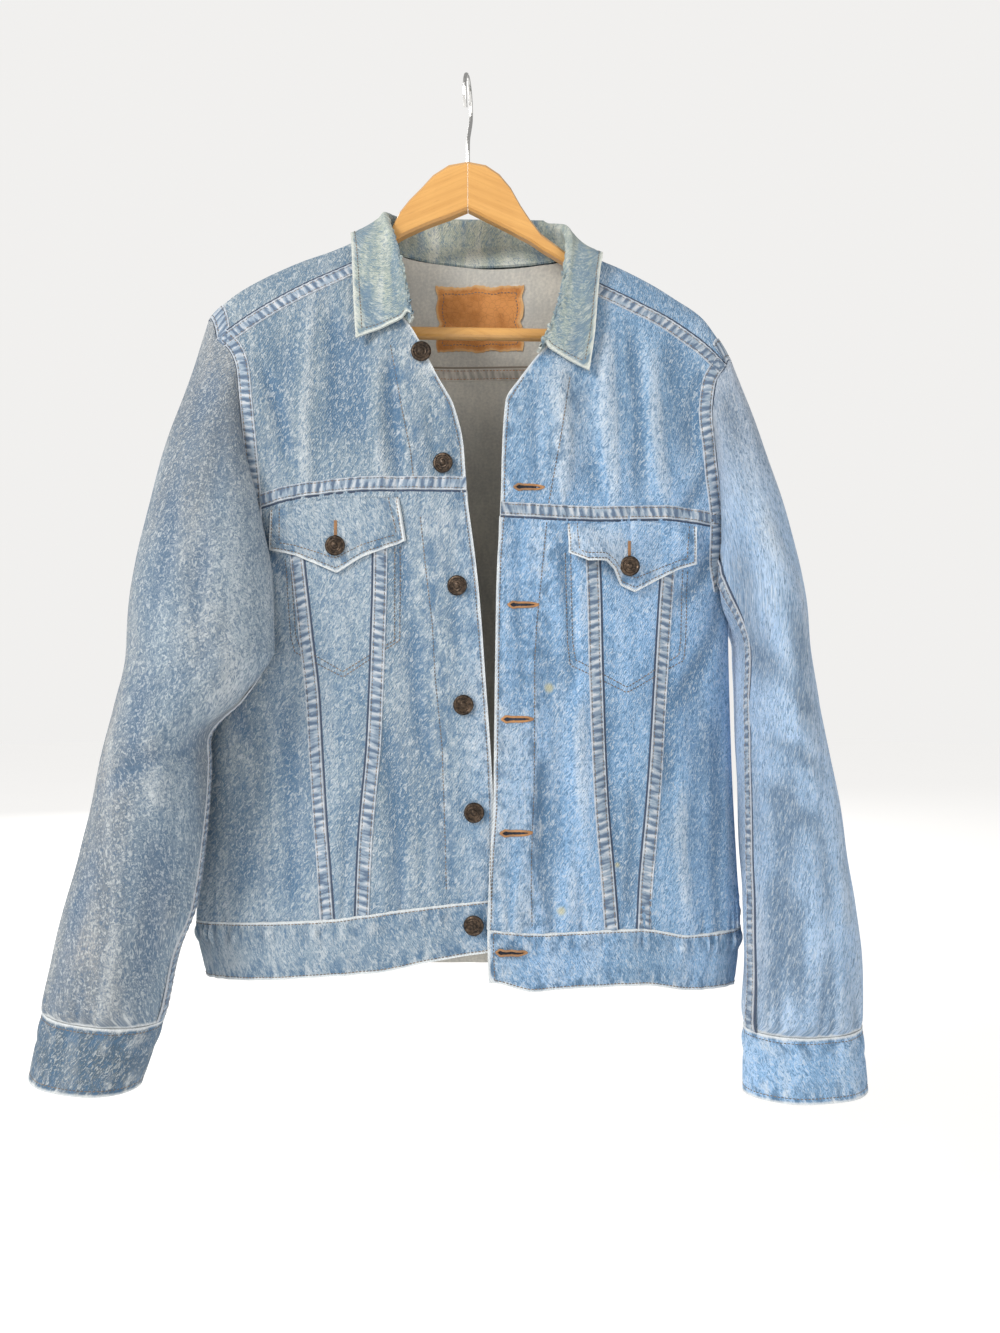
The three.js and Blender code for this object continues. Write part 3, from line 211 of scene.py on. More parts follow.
# Large soft troughs of the fronts: x and z of the top, of the foot, half width, depth
FOLD_TABLE = [
    (-97, -222, -92, -345, 15, 5), (-150, -225, -165, -350, 18, 4),
    (-62, -400, -38, -700, 14, 4), (99, -265, 110, -385, 14, 6),
    (178, -230, 192, -370, 14, 5), (60, -420, 90, -710, 16, 5),
    (190, -440, 205, -700, 16, 4), (-190, -600, -180, -720, 16, 4),
]

# Edges of the panels as (x, z)
SHOULDER_SEAM = {
    "right": [(-218, -237), (-190, -218), (-165, -203), (-132, -186), (-93, -168)],
    "left": [(226, -259), (205, -240), (178, -221), (148, -206), (104, -185)],
}
NECK_AND_FRONT_EDGE = {
    "right": [(-93, -168), (-78, -195), (-62, -216), (-48, -232), (-24, -277), (-10, -303),
              (-2, -338), (0, -374)],
    "left": [(104, -185), (90, -218), (76, -242), (60, -258), (46, -277), (33, -298),
             (30, -345), (29, -395)],
}
ARMHOLE_FRONT = {
    "right": [(-218, -237), (-205, -250), (-199, -265), (-196, -290), (-191, -338),
              (-187, -389)],
    "left": [(226, -259), (215, -278), (212, -304), (215, -333), (218, -361), (222, -401)],
}
ARMHOLE_UNDER_FRONT = {
    "right": [(-187, -389), (-190, -425), (-204, -455), (-226, -471)],
    "left": [(222, -401), (222, -430), (226, -455), (231, -471)],
}
YOKE_SEAM_FRONT = {
    "right": [(-187, -389), (-141, -378), (-78, -373), (0, -374)],
    "left": [(222, -401), (168, -396), (111, -398), (29, -395)],
}
FRONT_EDGE = {
    "right": [(0, -374), (10, -450), (16, -527), (21, -598), (23, -640), (24, -717)],
    "left": [(29, -395), (26, -438), (25, -486), (24, -560), (23, -640), (20, -680),
             (18, -741)],
}
INNER_SEAM = {
    "right": [(-78, -373), (-78, -425), (-80, -516), (-83, -584), (-90, -667), (-93, -732)],
    "left": [(111, -398), (112, -429), (115, -530), (119, -628), (126, -715), (128, -744)],
}
OUTER_SEAM = {
    "right": [(-141, -378), (-138, -433), (-131, -493), (-125, -545), (-121, -614),
              (-112, -735)],
    "left": [(168, -396), (166, -445), (159, -560), (154, -628), (147, -708), (145, -744)],
}
SIDE_SEAM_Z = {"right": (-471, -746), "left": (-471, -751)}
BAND_TOP_FRONT = {
    "right": [(-241, -746), (-187, -741), (-112, -735), (-93, -732), (-23, -722),
              (24, -717)],
    "left": [(242, -751), (192, -752), (145, -744), (128, -744), (72, -745), (18, -741)],
}
BAND_BOTTOM_FRONT = {
    "right": [(-232, -795), (-187, -791), (-122, -784), (-69, -778), (-30, -769),
              (24, -760)],
    "left": [(237, -802), (196, -800), (143, -792), (102, -792), (58, -793), (26, -785)],
}
BAND_BACK_Z = -748
BAND_BACK_HALF_TURNS = (0.72, 1, 1.28)
BAND_TALL = 50
BAND_STAND = 0.9

# Back yoke seam and the panels under it
YOKE_SEAM_BACK_Z = -255
BACK_SEAM_TOP_X = 62
BACK_SEAM_FOOT_X = 44
ARMHOLE_BACK_X = {"right": -214, "left": 218}
YOKE_ARM_TOP_X = {"right": -229, "left": 234}
YOKE_FOOT_X = {"right": -90, "left": 98}
YOKE_NECK_STOPS = (0, 1, 2, 4, 6, 8, 10, 11, 12)
YOKE_ARM_COLUMNS = 12
YOKE_COLUMNS = 36
ARMHOLE_ROW_SHARE = 4 / 12
FRONT_COLUMNS = (0, 4, 7, 12)
LOOP_ROWS = {"side": 12, "yoke": 9, "back_yoke": 8, "back": 12}

# Collar, one row a station from the right front end round the back of the neck:
# neck seam (x, z), face, top of the roll (x, y, z), free edge (x, z), how far it is off
COLLAR_TABLE = [
    ((-49, -231), 1, (-45, -47, -222), (-92, -243), 9),
    ((-62, -215), 1, (-48, -44, -204), (-95, -212), 9),
    ((-77, -194), 1, (-53, -37, -178), (-97, -184), 8),
    ((-90, -168), 1, (-61, -25, -148), (-99, -158), 8),
    ((-92, -147), 1, (-67, -12, -129), (-100, -148), 9),
    ((-90, -140.5), -1, (-70, 0, -117), (-101, -145.2), 9),
    ((-76, -145), -1, (-63, 24, -110), (-97, -157), 9),
    ((-50, -152), -1, (-44, 42, -107), (-62, -180), 8),
    ((8, -158), -1, (8, 50, -107), (8, -184), 8),
    ((66, -157), -1, (62, 44, -109), (78, -184), 8),
    ((90, -155), -1, (82, 24, -118), (113, -172), 9),
    ((102, -153), -1, (86, 0, -134), (116, -161), 9),
    ((103, -160), 1, (86, -12, -147), (116, -166), 9),
    ((101, -188), 1, (84, -25, -166), (114, -181), 8),
    ((90, -217), 1, (79, -37, -200), (111, -208), 8),
    ((75, -243), 1, (71, -44, -227), (108, -240), 9),
    ((61, -257), 1, (61, -47, -248), (104, -271), 9),
]
COLLAR_CLOTH = 2.4
COLLAR_STAND_GAP = 1.6
ROLL_RADIUS = 5

# Sleeve sections: z, x, y, half width, half depth, turn to the underarm seam
SLEEVE_TABLE = {
    "right": [
        (-508, -221, -52, 61, 50, -95), (-550, -240, -52, 51, 54, -85),
        (-586, -258, -50, 41, 57, -70), (-635, -265, -48, 46, 54, -60),
        (-677, -272, -48, 50, 50, -50), (-719, -280, -50, 54, 47, -45),
        (-762, -292, -52, 51, 46, -40), (-800, -300, -54, 51, 40, -40),
        (-811, -302, -55, 49, 33, -40),
    ],
    "left": [
        (-508, 265, -14, 29, 74, -20), (-551, 269, -16, 32, 71, -20),
        (-594, 273, -18, 36, 67, -20), (-638, 278, -20, 41, 62, -20),
        (-682, 282, -21, 44, 58, -20), (-725, 286, -22, 47, 53, -20),
        (-769, 289, -24, 50, 47, -20), (-818, 290, -25, 51, 40, -20),
        (-831, 290, -25, 50, 33, -20),
    ],
}
CUFF_FOOT = {"right": (-865, -316, -58, 45, 34, -40), "left": (-887, 292, -26, 53, 31, -20)}
CUFF_TILT = {"right": -0.11, "left": 0.02}
CUFF_STAND = 0.6
CUFF_DROP = 0.5
BLEND_RINGS = 8
SLEEVE_CLEAR = 3.6
SLEEVE_SEAT = 0.4
UNDER_SHARE = 0.03
UNDER_CLEAR = 2.5
UNDER_FORWARD = 7
TOP_SLEEVE_FROM = 0.06
TOP_SLEEVE_TO = 0.72
SLEEVE_FINER = 4
SLEEVE_WRAP = 4

# Pocket flaps as (x, z): top edge, foot from the outer to the inner corner, and where,
# how widely and how high the corner curls
FLAP_TOP = {
    "right": [(-166, -389), (-110, -383), (-56, -380)],
    "left": [(197, -402), (141, -402), (86, -402)],
}
FLAP_FOOT = {
    "right": [(-167, -422), (-144, -428), (-109, -443), (-88, -430), (-50, -416)],
    "left": [(196, -434), (180, -439), (142, -459), (130, -454), (124, -441), (117, -434),
             (100, -434), (88, -426)],
}
FLAP_CURL = {"right": (-109, -430, 60, 0), "left": (110, -431, 20, 11)}
FLAP_OUT = 3.3
FLAP_TALL = 42
FLAP_WIDE = 110
FLAP_TUCK = -0.13

# Walls of one layer and of doubled cloth, and the runs that ripples are spread over
SINGLE = 1.6
DOUBLE = 2.6
RING_RUN = 236
SLEEVE_RUN = 350
CUFF_RUN = 250
COLLAR_STEP = 3.0
COLLAR_LEAF = 34
FELL_SHIFT = 5.9
ARMHOLE_FELL_SHIFT = 6.2
BACK_FELL_SHIFT = 6.0
INNER_FELL_UP = 4
INNER_FELL_OUT = 1.7
UNDER_FLAP = 26
ROPE_TWIST = 6.8


# Form of the cloth
def real(values):
    return np.asarray(values, float)


def hermite(start, leave, end, arrive, w):
    """Cubic from start to end, with the slopes it leaves and arrives by."""
    w2, w3 = w * w, w * w * w
    return (start * (2 * w3 - 3 * w2 + 1) + leave * (w3 - 2 * w2 + w)
            + end * (3 * w2 - 2 * w3) + arrive * (w3 - w2))


def smooth(ats, values):
    """Smooth curve through values at rising places, without overshoot."""
    xs, ys = real(ats), real(values)
    order = np.argsort(xs, kind="stable")
    xs, ys = xs[order], ys[order]
    single = ys.ndim == 1
    if single:
        ys = ys[:, None]
    gaps = np.diff(xs)[:, None]
    steps = np.diff(ys, axis=0) / gaps
    slopes = np.vstack([steps[:1], np.zeros((max(len(xs) - 2, 0), ys.shape[1])), steps[-1:]])
    if len(xs) > 2:
        a, b = steps[:-1], steps[1:]
        total = np.where(a + b == 0, 1, a + b)
        slopes[1:-1] = np.where(a * b <= 0, 0, 2 * a * b / total)

    def value(t):
        at = np.clip(real(t), xs[0], xs[-1])
        i = np.clip(np.searchsorted(xs, at) - 1, 0, len(xs) - 2)
        gap = gaps[i, 0]
        w = ((at - xs[i]) / gap)[..., None]
        gap = gap[..., None]
        out = hermite(ys[i], slopes[i] * gap, ys[i + 1], slopes[i + 1] * gap, w)
        return out[..., 0] if single else out
    return value


def run_lengths(points):
    """Length along a line of points, from its first."""
    return np.concatenate([[0], np.cumsum(np.linalg.norm(np.diff(points, axis=0), axis=-1))])


def curve_through(points):
    """Smooth curve through points, from 0 to 1 by length."""
    points = real(points)
    lengths = run_lengths(points)
    return smooth(lengths / lengths[-1], points)


def cornered(points):
    """Broken line through points, from 0 to 1 by length."""
    points = real(points)
    lengths = run_lengths(points)
    lengths /= lengths[-1]
    return lambda t: np.stack([np.interp(t, lengths, points[:, k])
                               for k in range(points.shape[1])], -1)


def pieced(stops, curves, at):
    """Point on several curves in turn, each over its own stretch between stops."""
    place = None
    for curve, low, high in zip(curves[::-1], stops[-2::-1], stops[:0:-1]):
        part = curve(np.clip((at - low) / (high - low), 0, 1))
        place = part if place is None else np.where((at <= high)[..., None], part, place)
    return place


def smoothstep(low, high, x):
    t = np.clip((real(x) - low) / (high - low), 0, 1)
    return t * t * (3 - 2 * t)


def mix(a, b, t):
    return a + (b - a) * t


def hump(x, middle, width):
    return np.exp(-((x - middle) / width) ** 2)


def unit(v):
    return v / np.maximum(np.linalg.norm(v, axis=-1, keepdims=True), 1e-9)


SIDE_Z, SIDE_RIGHT, SIDE_LEFT = zip(*SIDE_TABLE)
side_right = smooth(SIDE_Z, SIDE_RIGHT)
side_left = smooth(SIDE_Z, SIDE_LEFT)
ridge = smooth(*zip(*RIDGE_TABLE))


def side_x(side, z):
    return side_right(z) if side == "right" else side_left(z)


def ring_middle(z):
    return (side_left(z) + side_right(z)) / 2


def ring_half(z):
    return (side_left(z) - side_right(z)) / 2


def ring_x(turn, z):
    return ring_middle(z) + ring_half(z) * np.sin(turn)


def turn_at(x, z, back=False):
    turn = np.arcsin(np.clip((real(x) - ring_middle(z)) / ring_half(z), -1, 1))
    return math.pi - turn if back else turn


def troughs(x, z, table):
    """Depth of soft troughs: x, z of both ends, half width, depth and bow of each."""
    total = 0
    for x0, z0, x1, z1, wide, deep, bow in table:
        dx, dz = x1 - x0, z1 - z0
        length = math.hypot(dx, dz)
        along = ((x - x0) * dx + (z - z0) * dz) / length ** 2
        off = ((x - x0) * dz - (z - z0) * dx) / length
        off = off - bow * np.sin(math.pi * np.clip(along, 0, 1))
        ends = smoothstep(-0.15, 0.25, along) * smoothstep(1.15, 0.75, along)
        total = total + deep * ends * hump(off, 0, wide)
    return total


def fold_depth(x, z):
    total = 0
    for x0, z0, x1, z1, wide, deep in FOLD_TABLE:
        along = (z0 - z) / (z0 - z1)
        ends = smoothstep(-0.1, 0.25, along) * smoothstep(1.1, 0.75, along)
        total = total + deep * ends * hump(x, mix(x0, x1, along), wide)
    return total


def depth_at(x, z, cosine, back):
    """Depth of the cloth's outer face from the side seams' plane."""
    drop = np.maximum(ridge(x) - z, 0)
    rise = np.sqrt(2 * RIDGE_ROUND * drop + (RIDGE_SLOPE * drop) ** 2)
    across = x / NECK_BULGE_WIDE
    down = (z - NECK_BULGE_Z) / NECK_BULGE_TALL
    neck = NECK_BULGE * np.where(back, NECK_BULGE_BACK, 1) * np.exp(-across ** 2 - down ** 2)
    full = np.where(back, BACK_DEPTH, FRONT_DEPTH) * np.abs(cosine) + neck
    folds = np.where(back, 0, fold_depth(x, z) * np.abs(cosine))
    return np.maximum(full * np.tanh(rise / np.maximum(full, 1e-3)) - folds, 0)


def body_point(turn, z, out=0.0):
    turn, z = np.broadcast_arrays(real(turn), real(z))
    cosine = np.cos(turn)
    x = ring_x(turn, z)
    back = cosine < 0
    depth = depth_at(x, z, cosine, back) + out
    return np.stack([x, np.where(back, depth, -depth), z], -1)


def yoke_point(x, root, out=0.0):
    x, root = np.broadcast_arrays(real(x), real(root))
    z = ridge(x) - root * root
    back = root > 0
    depth = depth_at(x, z, np.cos(turn_at(x, z)), back) + out
    return np.stack([x, np.where(back, depth, -depth), z], -1)


def yoke_root(x, z, back):
    return np.sqrt(np.maximum(ridge(x) - z, 0)) * (1 if back else -1)


def inside_edges(top, foot, start, end):
    """Point inside four edges, each a function of 0..1."""
    def place(u, v):
        u, v = np.broadcast_arrays(real(u), real(v))
        u1, v1 = u[..., None], v[..., None]
        zero, one = np.array(0.0), np.array(1.0)
        corners = mix(mix(start(zero), end(zero), u1), mix(start(one), end(one), u1), v1)
        return mix(top(u), foot(u), v1) + mix(start(v), end(v), u1) - corners
    return place


def ring_curve(points):
    points = real(points)
    turns = turn_at(points[:, 0], points[:, 1]) * RING_SCALE
    return curve_through(np.stack([turns, points[:, 1]], -1))


def ring_patch(top, foot, start, end):
    inside = inside_edges(top, foot, start, end)

    def flat(u, v):
        place = inside(u, v)
        return place[..., 0] / RING_SCALE, place[..., 1]
    return flat


def shared_seam(points, stops):
    """Parts of one seam between its own x stops."""
    whole = curve_through(points)
    fine = np.linspace(0, 1, 4001)
    xs = whole(fine)[:, 0]
    if xs[-1] < xs[0]:
        places = np.interp(stops, xs[::-1], fine[::-1])
    else:
        places = np.interp(stops, xs, fine)

    def part(a, b):
        def curve(t):
            place = whole(mix(a, b, real(t)))
            turns = turn_at(place[..., 0], place[..., 1]) * RING_SCALE
            return np.stack([turns, place[..., 1]], -1)
        return curve
    return [part(a, b) for a, b in zip(places[:-1], places[1:])]


def band_edge(table, back_z):
    rows = [(float(turn_at(x, z)), z) for x, z in reversed(table["left"])]
    rows += [(half * math.pi, back_z) for half in BAND_BACK_HALF_TURNS]
    rows += [(FULL_TURN + float(turn_at(x, z)), z) for x, z in table["right"]]
    return smooth([r[0] for r in rows], [r[1] for r in rows])


band_top = band_edge(BAND_TOP_FRONT, BAND_BACK_Z)
band_foot = band_edge(BAND_BOTTOM_FRONT, BAND_BACK_Z - BAND_TALL)


def along_band(start, end, shift=0.0):
    def curve(t):
        turn = mix(start, end, real(t))
        return np.stack([turn * RING_SCALE, band_top(turn + shift)], -1)
    return curve


def front_band_turns(side):
    rows = [BAND_TOP_FRONT[side][0], OUTER_SEAM[side][-1], INNER_SEAM[side][-1],
            FRONT_EDGE[side][-1]]
    return [float(turn_at(x, z)) for x, z in rows]


def lap_at(side, x, z):
    near = smoothstep(LAP_FROM[0], LAP_FULL[0], x) * smoothstep(LAP_FROM[1], LAP_FULL[1], z)
    return LAP_LIFT * near if side == "left" else 0.0


def side_seam(turn, top, foot):
    return lambda v: np.stack([np.full(v.shape, turn * RING_SCALE), mix(top, foot, v)], -1)


def side_edge(side):
    curves = (ring_curve(ARMHOLE_UNDER_FRONT[side]),
              side_seam(OUTWARD[side] * LEFT_SIDE, *SIDE_SEAM_Z[side]))
    return lambda v: pieced((0, ARMHOLE_ROW_SHARE, 1), curves, real(v))


def front_flats(side):
    """Flat places of the yoke and of the side, taper and centre panels of one front."""
    stops = [YOKE_SEAM_FRONT[side][0][0], OUTER_SEAM[side][0][0], INNER_SEAM[side][0][0],
             FRONT_EDGE[side][0][0]]
    turns = front_band_turns(side)
    seams = shared_seam(YOKE_SEAM_FRONT[side], stops)
    shift = FULL_TURN if side == "right" else 0
    bands = [along_band(a, b, shift) for a, b in zip(turns[:-1], turns[1:])]

    def yoke_foot(t):
        return pieced(FRONT_COLUMNS, seams, real(t) * FRONT_COLUMNS[-1])
    yoke = ring_patch(ring_curve(SHOULDER_SEAM[side]), yoke_foot,
                      ring_curve(ARMHOLE_FRONT[side]), ring_curve(NECK_AND_FRONT_EDGE[side]))
    edges = [side_edge(side), ring_curve(OUTER_SEAM[side]), ring_curve(INNER_SEAM[side]),
             ring_curve(FRONT_EDGE[side])]
    lower = [ring_patch(seams[k], bands[k], edges[k], edges[k + 1]) for k in range(3)]
    return {"yoke": yoke, "side": lower[0], "taper": lower[1], "centre": lower[2]}


def shoulder_roots(side):
    seam = ring_curve(SHOULDER_SEAM[side])

    def curve(t):
        place = seam(t)
        turn, z = place[..., 0] / RING_SCALE, place[..., 1]
        x = ring_x(turn, z)
        return np.stack([x, ROOT_SCALE * yoke_root(x, z, False)], -1)
    return curve


def back_yoke_flat():
    right_seam = shoulder_roots("right")
    left_seam = shoulder_roots("left")
    one, zero = np.array(1.0), np.array(0.0)
    roots = [(row[0][0], ROOT_SCALE * float(yoke_root(row[0][0], row[0][1], True)))
             for row in COLLAR_TABLE[5:12]]
    neck = smooth(YOKE_NECK_STOPS, [tuple(right_seam(one))] + roots + [tuple(left_seam(one))])
    arm, total = YOKE_ARM_COLUMNS, YOKE_COLUMNS

    def top(t):
        curves = (right_seam, lambda w: neck(w * YOKE_NECK_STOPS[-1]),
                  lambda w: left_seam(1 - w))
        return pieced((0, arm, total - arm, total), curves, real(t) * total)

    def back_at(x):
        x = real(x)
        return np.stack([x, ROOT_SCALE * yoke_root(x, YOKE_SEAM_BACK_Z, True)], -1)
    foot_x = smooth([0, arm, total - arm, total],
                    [ARMHOLE_BACK_X["right"], YOKE_FOOT_X["right"], YOKE_FOOT_X["left"],
                     ARMHOLE_BACK_X["left"]])

    def arm_edge(side):
        start = shoulder_roots(side)(zero)
        return curve_through([start, (YOKE_ARM_TOP_X[side], 0), back_at(ARMHOLE_BACK_X[side])])
    inside = inside_edges(top, lambda t: back_at(foot_x(real(t) * total)),
                          arm_edge("right"), arm_edge("left"))

    def flat(u, v):
        place = inside(u, v)
        return place[..., 0], place[..., 1] / ROOT_SCALE
    return flat


def back_turn(x, z):
    turns = turn_at(x, z, True) * RING_SCALE
    return np.stack(np.broadcast_arrays(turns, real(z)), -1)


def armhole_behind(side):
    sign, x = OUTWARD[side], ARMHOLE_BACK_X[side]
    pit = SIDE_SEAM_Z[side][0]
    return [(x - sign * 4, -330), (x - sign * 3, -400), (x + sign * 4, -448),
            (float(side_x(side, pit)), pit)]


def foot_turn(side):
    return float(turn_at(OUTWARD[side] * BACK_SEAM_FOOT_X, BAND_BACK_Z, True))


def back_flats():
    def seam(side):
        sign = OUTWARD[side]
        return lambda v: back_turn(sign * mix(BACK_SEAM_TOP_X, BACK_SEAM_FOOT_X, v),
                                   mix(YOKE_SEAM_BACK_Z, BAND_BACK_Z, real(v)))

    def top(start, end):
        return lambda t: back_turn(mix(start, end, real(t)), YOKE_SEAM_BACK_Z)
    flats = {"centre": ring_patch(top(-BACK_SEAM_TOP_X, BACK_SEAM_TOP_X),
                                  along_band(foot_turn("right"), foot_turn("left")),
                                  seam("right"), seam("left"))}
    for side in SIDES:
        pit, low = SIDE_SEAM_Z[side]
        turn = LEFT_SIDE if side == "left" else RIGHT_SIDE
        rows = [back_turn(ARMHOLE_BACK_X[side], YOKE_SEAM_BACK_Z)]
        rows += [back_turn(x, z) for x, z in armhole_behind(side)[:-1]]
        rows += [np.array([turn * RING_SCALE, pit])]
        curves = (curve_through(rows), side_seam(turn, pit, low))

        def outer(v, curves=curves):
            return pieced((0, 0.5, 1), curves, real(v))
        flats[side] = ring_patch(top(ARMHOLE_BACK_X[side], OUTWARD[side] * BACK_SEAM_TOP_X),
                                 along_band(turn, foot_turn(side)), outer, seam(side))
    return flats


def lifted_normals(lift, p, q):
    step = 1e-3
    dp = lift(p + step, q) - lift(p - step, q)
    dq = lift(p, q - step * 50) - lift(p, q + step * 50)
    return unit(np.cross(dq, dp))


# Sleeve sections
def section_point(side, row, share, top_share, tilt=0.0):
    """Point of a sleeve section; share runs round from the underarm seam by the front."""
    z, x, y, wide, deep, under = row
    inward = 1 if side == "right" else -1
    share = real(share)
    degrees = np.where(share <= top_share, mix(under, 180, share / top_share),
                       mix(180, under + 360, (share - top_share) / (1 - top_share)))
    angle = np.radians(degrees)
    px = x + inward * wide * np.cos(angle)
    return np.stack([px, y - deep * np.sin(angle), z + tilt * (px - x)], -1)


def armhole_x(side, back):
    if back:
        rows = [(ARMHOLE_BACK_X[side], YOKE_SEAM_BACK_Z)] + armhole_behind(side)
    else:
        rows = ARMHOLE_FRONT[side] + ARMHOLE_UNDER_FRONT[side][1:]
    return smooth([z for _, z in rows], [x for x, _ in rows])


def clear_of_body(side, points, clear, shares, top_share):
    """Moves the points of a sleeve ring clear of the body."""
    outward = OUTWARD[side]
    pit = SIDE_SEAM_Z[side][0]
    edges = {False: armhole_x(side, False), True: armhole_x(side, True)}
    for p, share in zip(points, shares):
        in_front = share <= top_share
        edge = float(edges[not in_front](p[2]) if p[2] > pit else side_x(side, p[2]))
        near_seam = share < UNDER_SHARE or share > 1 - UNDER_SHARE
        if near_seam and p[2] < pit:
            p[0] = outward * max(outward * p[0], outward * edge + UNDER_CLEAR)
            if side == "right":
                p[1] = min(p[1], -UNDER_FORWARD)
        elif outward * (edge - p[0]) > 0:
            sine = (p[0] - ring_middle(p[2])) / ring_half(p[2])
            cosine = math.sqrt(max(1 - sine * sine, 0))
            depth = float(depth_at(p[0], p[2], cosine, not in_front))
            p[1] = min(p[1], -depth - clear) if in_front else max(p[1], depth + clear)
        if side == "left" and p[2] < pit:
            lens = math.sqrt(max(1 - (p[1] / FRONT_DEPTH) ** 2, 0))
            p[0] = max(p[0], ring_middle(p[2]) + ring_half(p[2]) * lens + clear / 2)
    return points


def sleeve_loop(side):
    """Points and normals round an armhole, from the armpit up the front and over."""
    flats = front_flats(side)
    back = back_flats()[side]

    def front_lift(turn, z):
        return body_point(turn, z, lap_at(side, ring_x(turn, z), z))

    def column(flat, lift, u, rows):
        p, q = flat(np.full(len(rows), float(u)), real(rows))
        return lift(p, q), lifted_normals(lift, p, q)
    parts = [
        column(flats["side"], front_lift, 0, [i / LOOP_ROWS["side"] for i in (4, 3, 2, 1)]),
        column(flats["yoke"], front_lift, 0,
               [i / LOOP_ROWS["yoke"] for i in range(LOOP_ROWS["yoke"], -1, -1)]),
        column(back_yoke_flat(), yoke_point, 0 if side == "right" else 1,
               [i / LOOP_ROWS["back_yoke"] for i in range(1, LOOP_ROWS["back_yoke"] + 1)]),
        column(back, body_point, 0, [i / LOOP_ROWS["back"] for i in range(1, 6)]),
    ]
    return np.concatenate([p[0] for p in parts]), np.concatenate([p[1] for p in parts])


def sleeve_rings(side):
    loop, loop_normals = sleeve_loop(side)
    table = SLEEVE_TABLE[side]
    lengths = run_lengths(loop)
    shares = lengths / (lengths[-1] + np.linalg.norm(loop[0] - loop[-1]))
    top_share = shares[int(np.argmax(loop[:, 2]))]
    down = np.array([0, 0, -1.0])
    rings = [loop + loop_normals * SLEEVE_SEAT]
    section = section_point(side, table[0], shares, top_share)
    middle = np.array([table[0][1], table[0][2], 0.0]) + section * [0, 0, 1]
    radial = unit(section - middle)
    reach = np.linalg.norm(loop - section, axis=1)[:, None]
    spread = np.where(shares <= top_share, mix(0.8, 0.25, shares / top_share), 0.25)[:, None]
    leave = (radial * spread + down * 0.75) * reach
    for k in range(1, BLEND_RINGS + 1):
        w = k / BLEND_RINGS
        place = hermite(loop, leave, section, down * reach, w)
        clear = SLEEVE_CLEAR * float(smoothstep(-0.3, 0.1, w))
        rings.append(clear_of_body(side, place, clear, shares, top_share))
    for row in table[1:]:
        tilt = CUFF_TILT[side] if row is table[-1] else 0
        ring = section_point(side, row, shares, top_share, tilt)
        rings.append(clear_of_body(side, ring, SLEEVE_CLEAR, shares, top_share))
    return np.array(rings), shares, top_share


# Creases and puckers
CREASE_SCALE = 2.0
SWELL_SCALE = 1.5
# x and z of both ends, half width, depth (below zero a ridge), bow
FRONT_CREASES = [
    (-62, -252, -55, -366, 6, 2.2, 3), (-76, -262, -70, -372, 5, -1.2, 2),
    (-118, -200, -112, -330, 8, 1.6, -4), (-134, -215, -136, -372, 7, -1.6, 3),
    (-176, -262, -150, -352, 6, 1.8, -3), (-30, -300, -22, -372, 5, 1.2, 1),
    (-188, -380, -148, -452, 7, 2.0, 6), (-200, -430, -162, -510, 8, 2.2, 8),
    (-214, -470, -182, -600, 9, 2.0, 10), (-62, -388, -52, -470, 6, 1.4, -3),
    (-44, -480, -30, -610, 7, 1.8, 4), (-70, -560, -58, -728, 8, 1.8, -5),
    (-10, -420, -6, -520, 6, 1.0, 2), (-98, -640, -100, -736, 6, 1.5, 2),
    (-128, -600, -120, -720, 7, 1.2, 3), (-156, -560, -150, -735, 8, 1.6, -5),
    (-24, -620, -14, -716, 6, 1.3, -2),
    (58, -280, 62, -384, 5, 1.3, 2), (78, -262, 84, -390, 7, -2.0, -3),
    (120, -235, 128, -390, 8, -2.2, 4), (140, -225, 146, -384, 7, 1.8, -4),
    (160, -232, 170, -392, 8, -1.6, 3), (204, -262, 196, -340, 6, 1.8, 4),
    (214, -330, 180, -398, 7, 1.8, -5), (216, -410, 180, -470, 7, 2.0, -6),
    (224, -450, 176, -560, 8, 2.0, -9), (44, -402, 50, -560, 6, 1.2, 3),
    (78, -405, 92, -560, 7, 2.2, -4), (96, -450, 102, -700, 7, -1.6, 4),
    (64, -600, 70, -742, 7, 2.4, 3), (86, -640, 90, -744, 6, -1.6, -2),
    (118, -560, 130, -700, 7, 1.5, 3), (140, -620, 136, -744, 6, 1.4, -3),
    (170, -480, 176, -640, 8, 1.8, 5), (186, -600, 190, -748, 7, -1.4, 3),
    (216, -560, 212, -740, 8, 1.8, -4), (40, -660, 38, -740, 5, 1.2, 1),
]
BACK_CREASES = [
    (-190, -270, -150, -360, 9, 2.0, 6), (-176, -300, -168, -470, 9, 1.8, -6),
    (-206, -400, -168, -500, 8, 2.2, 7), (-214, -470, -186, -640, 9, 2.0, 9),
    (-120, -262, -128, -420, 10, 1.6, 5), (-84, -300, -80, -520, 9, -1.4, -5),
    (-30, -262, -24, -470, 11, 1.5, 5), (26, -280, 22, -520, 12, 1.6, -6),
    (90, -262, 96, -440, 10, -1.4, 4), (134, -270, 140, -480, 9, 1.8, -5),
    (192, -275, 156, -380, 9, 2.0, -6), (210, -410, 170, -500, 8, 2.2, -7),
    (220, -470, 190, -630, 9, 1.9, -9), (-150, -560, -140, -742, 9, 1.8, 4),
    (-96, -600, -92, -745, 8, 1.6, -4), (-52, -560, -50, -740, 8, 1.4, 3),
    (4, -600, 0, -746, 10, 1.6, 4), (60, -580, 56, -744, 8, 1.5, -3),
    (112, -600, 108, -745, 9, 1.8, 4), (160, -560, 152, -744, 9, 1.6, -4),
]
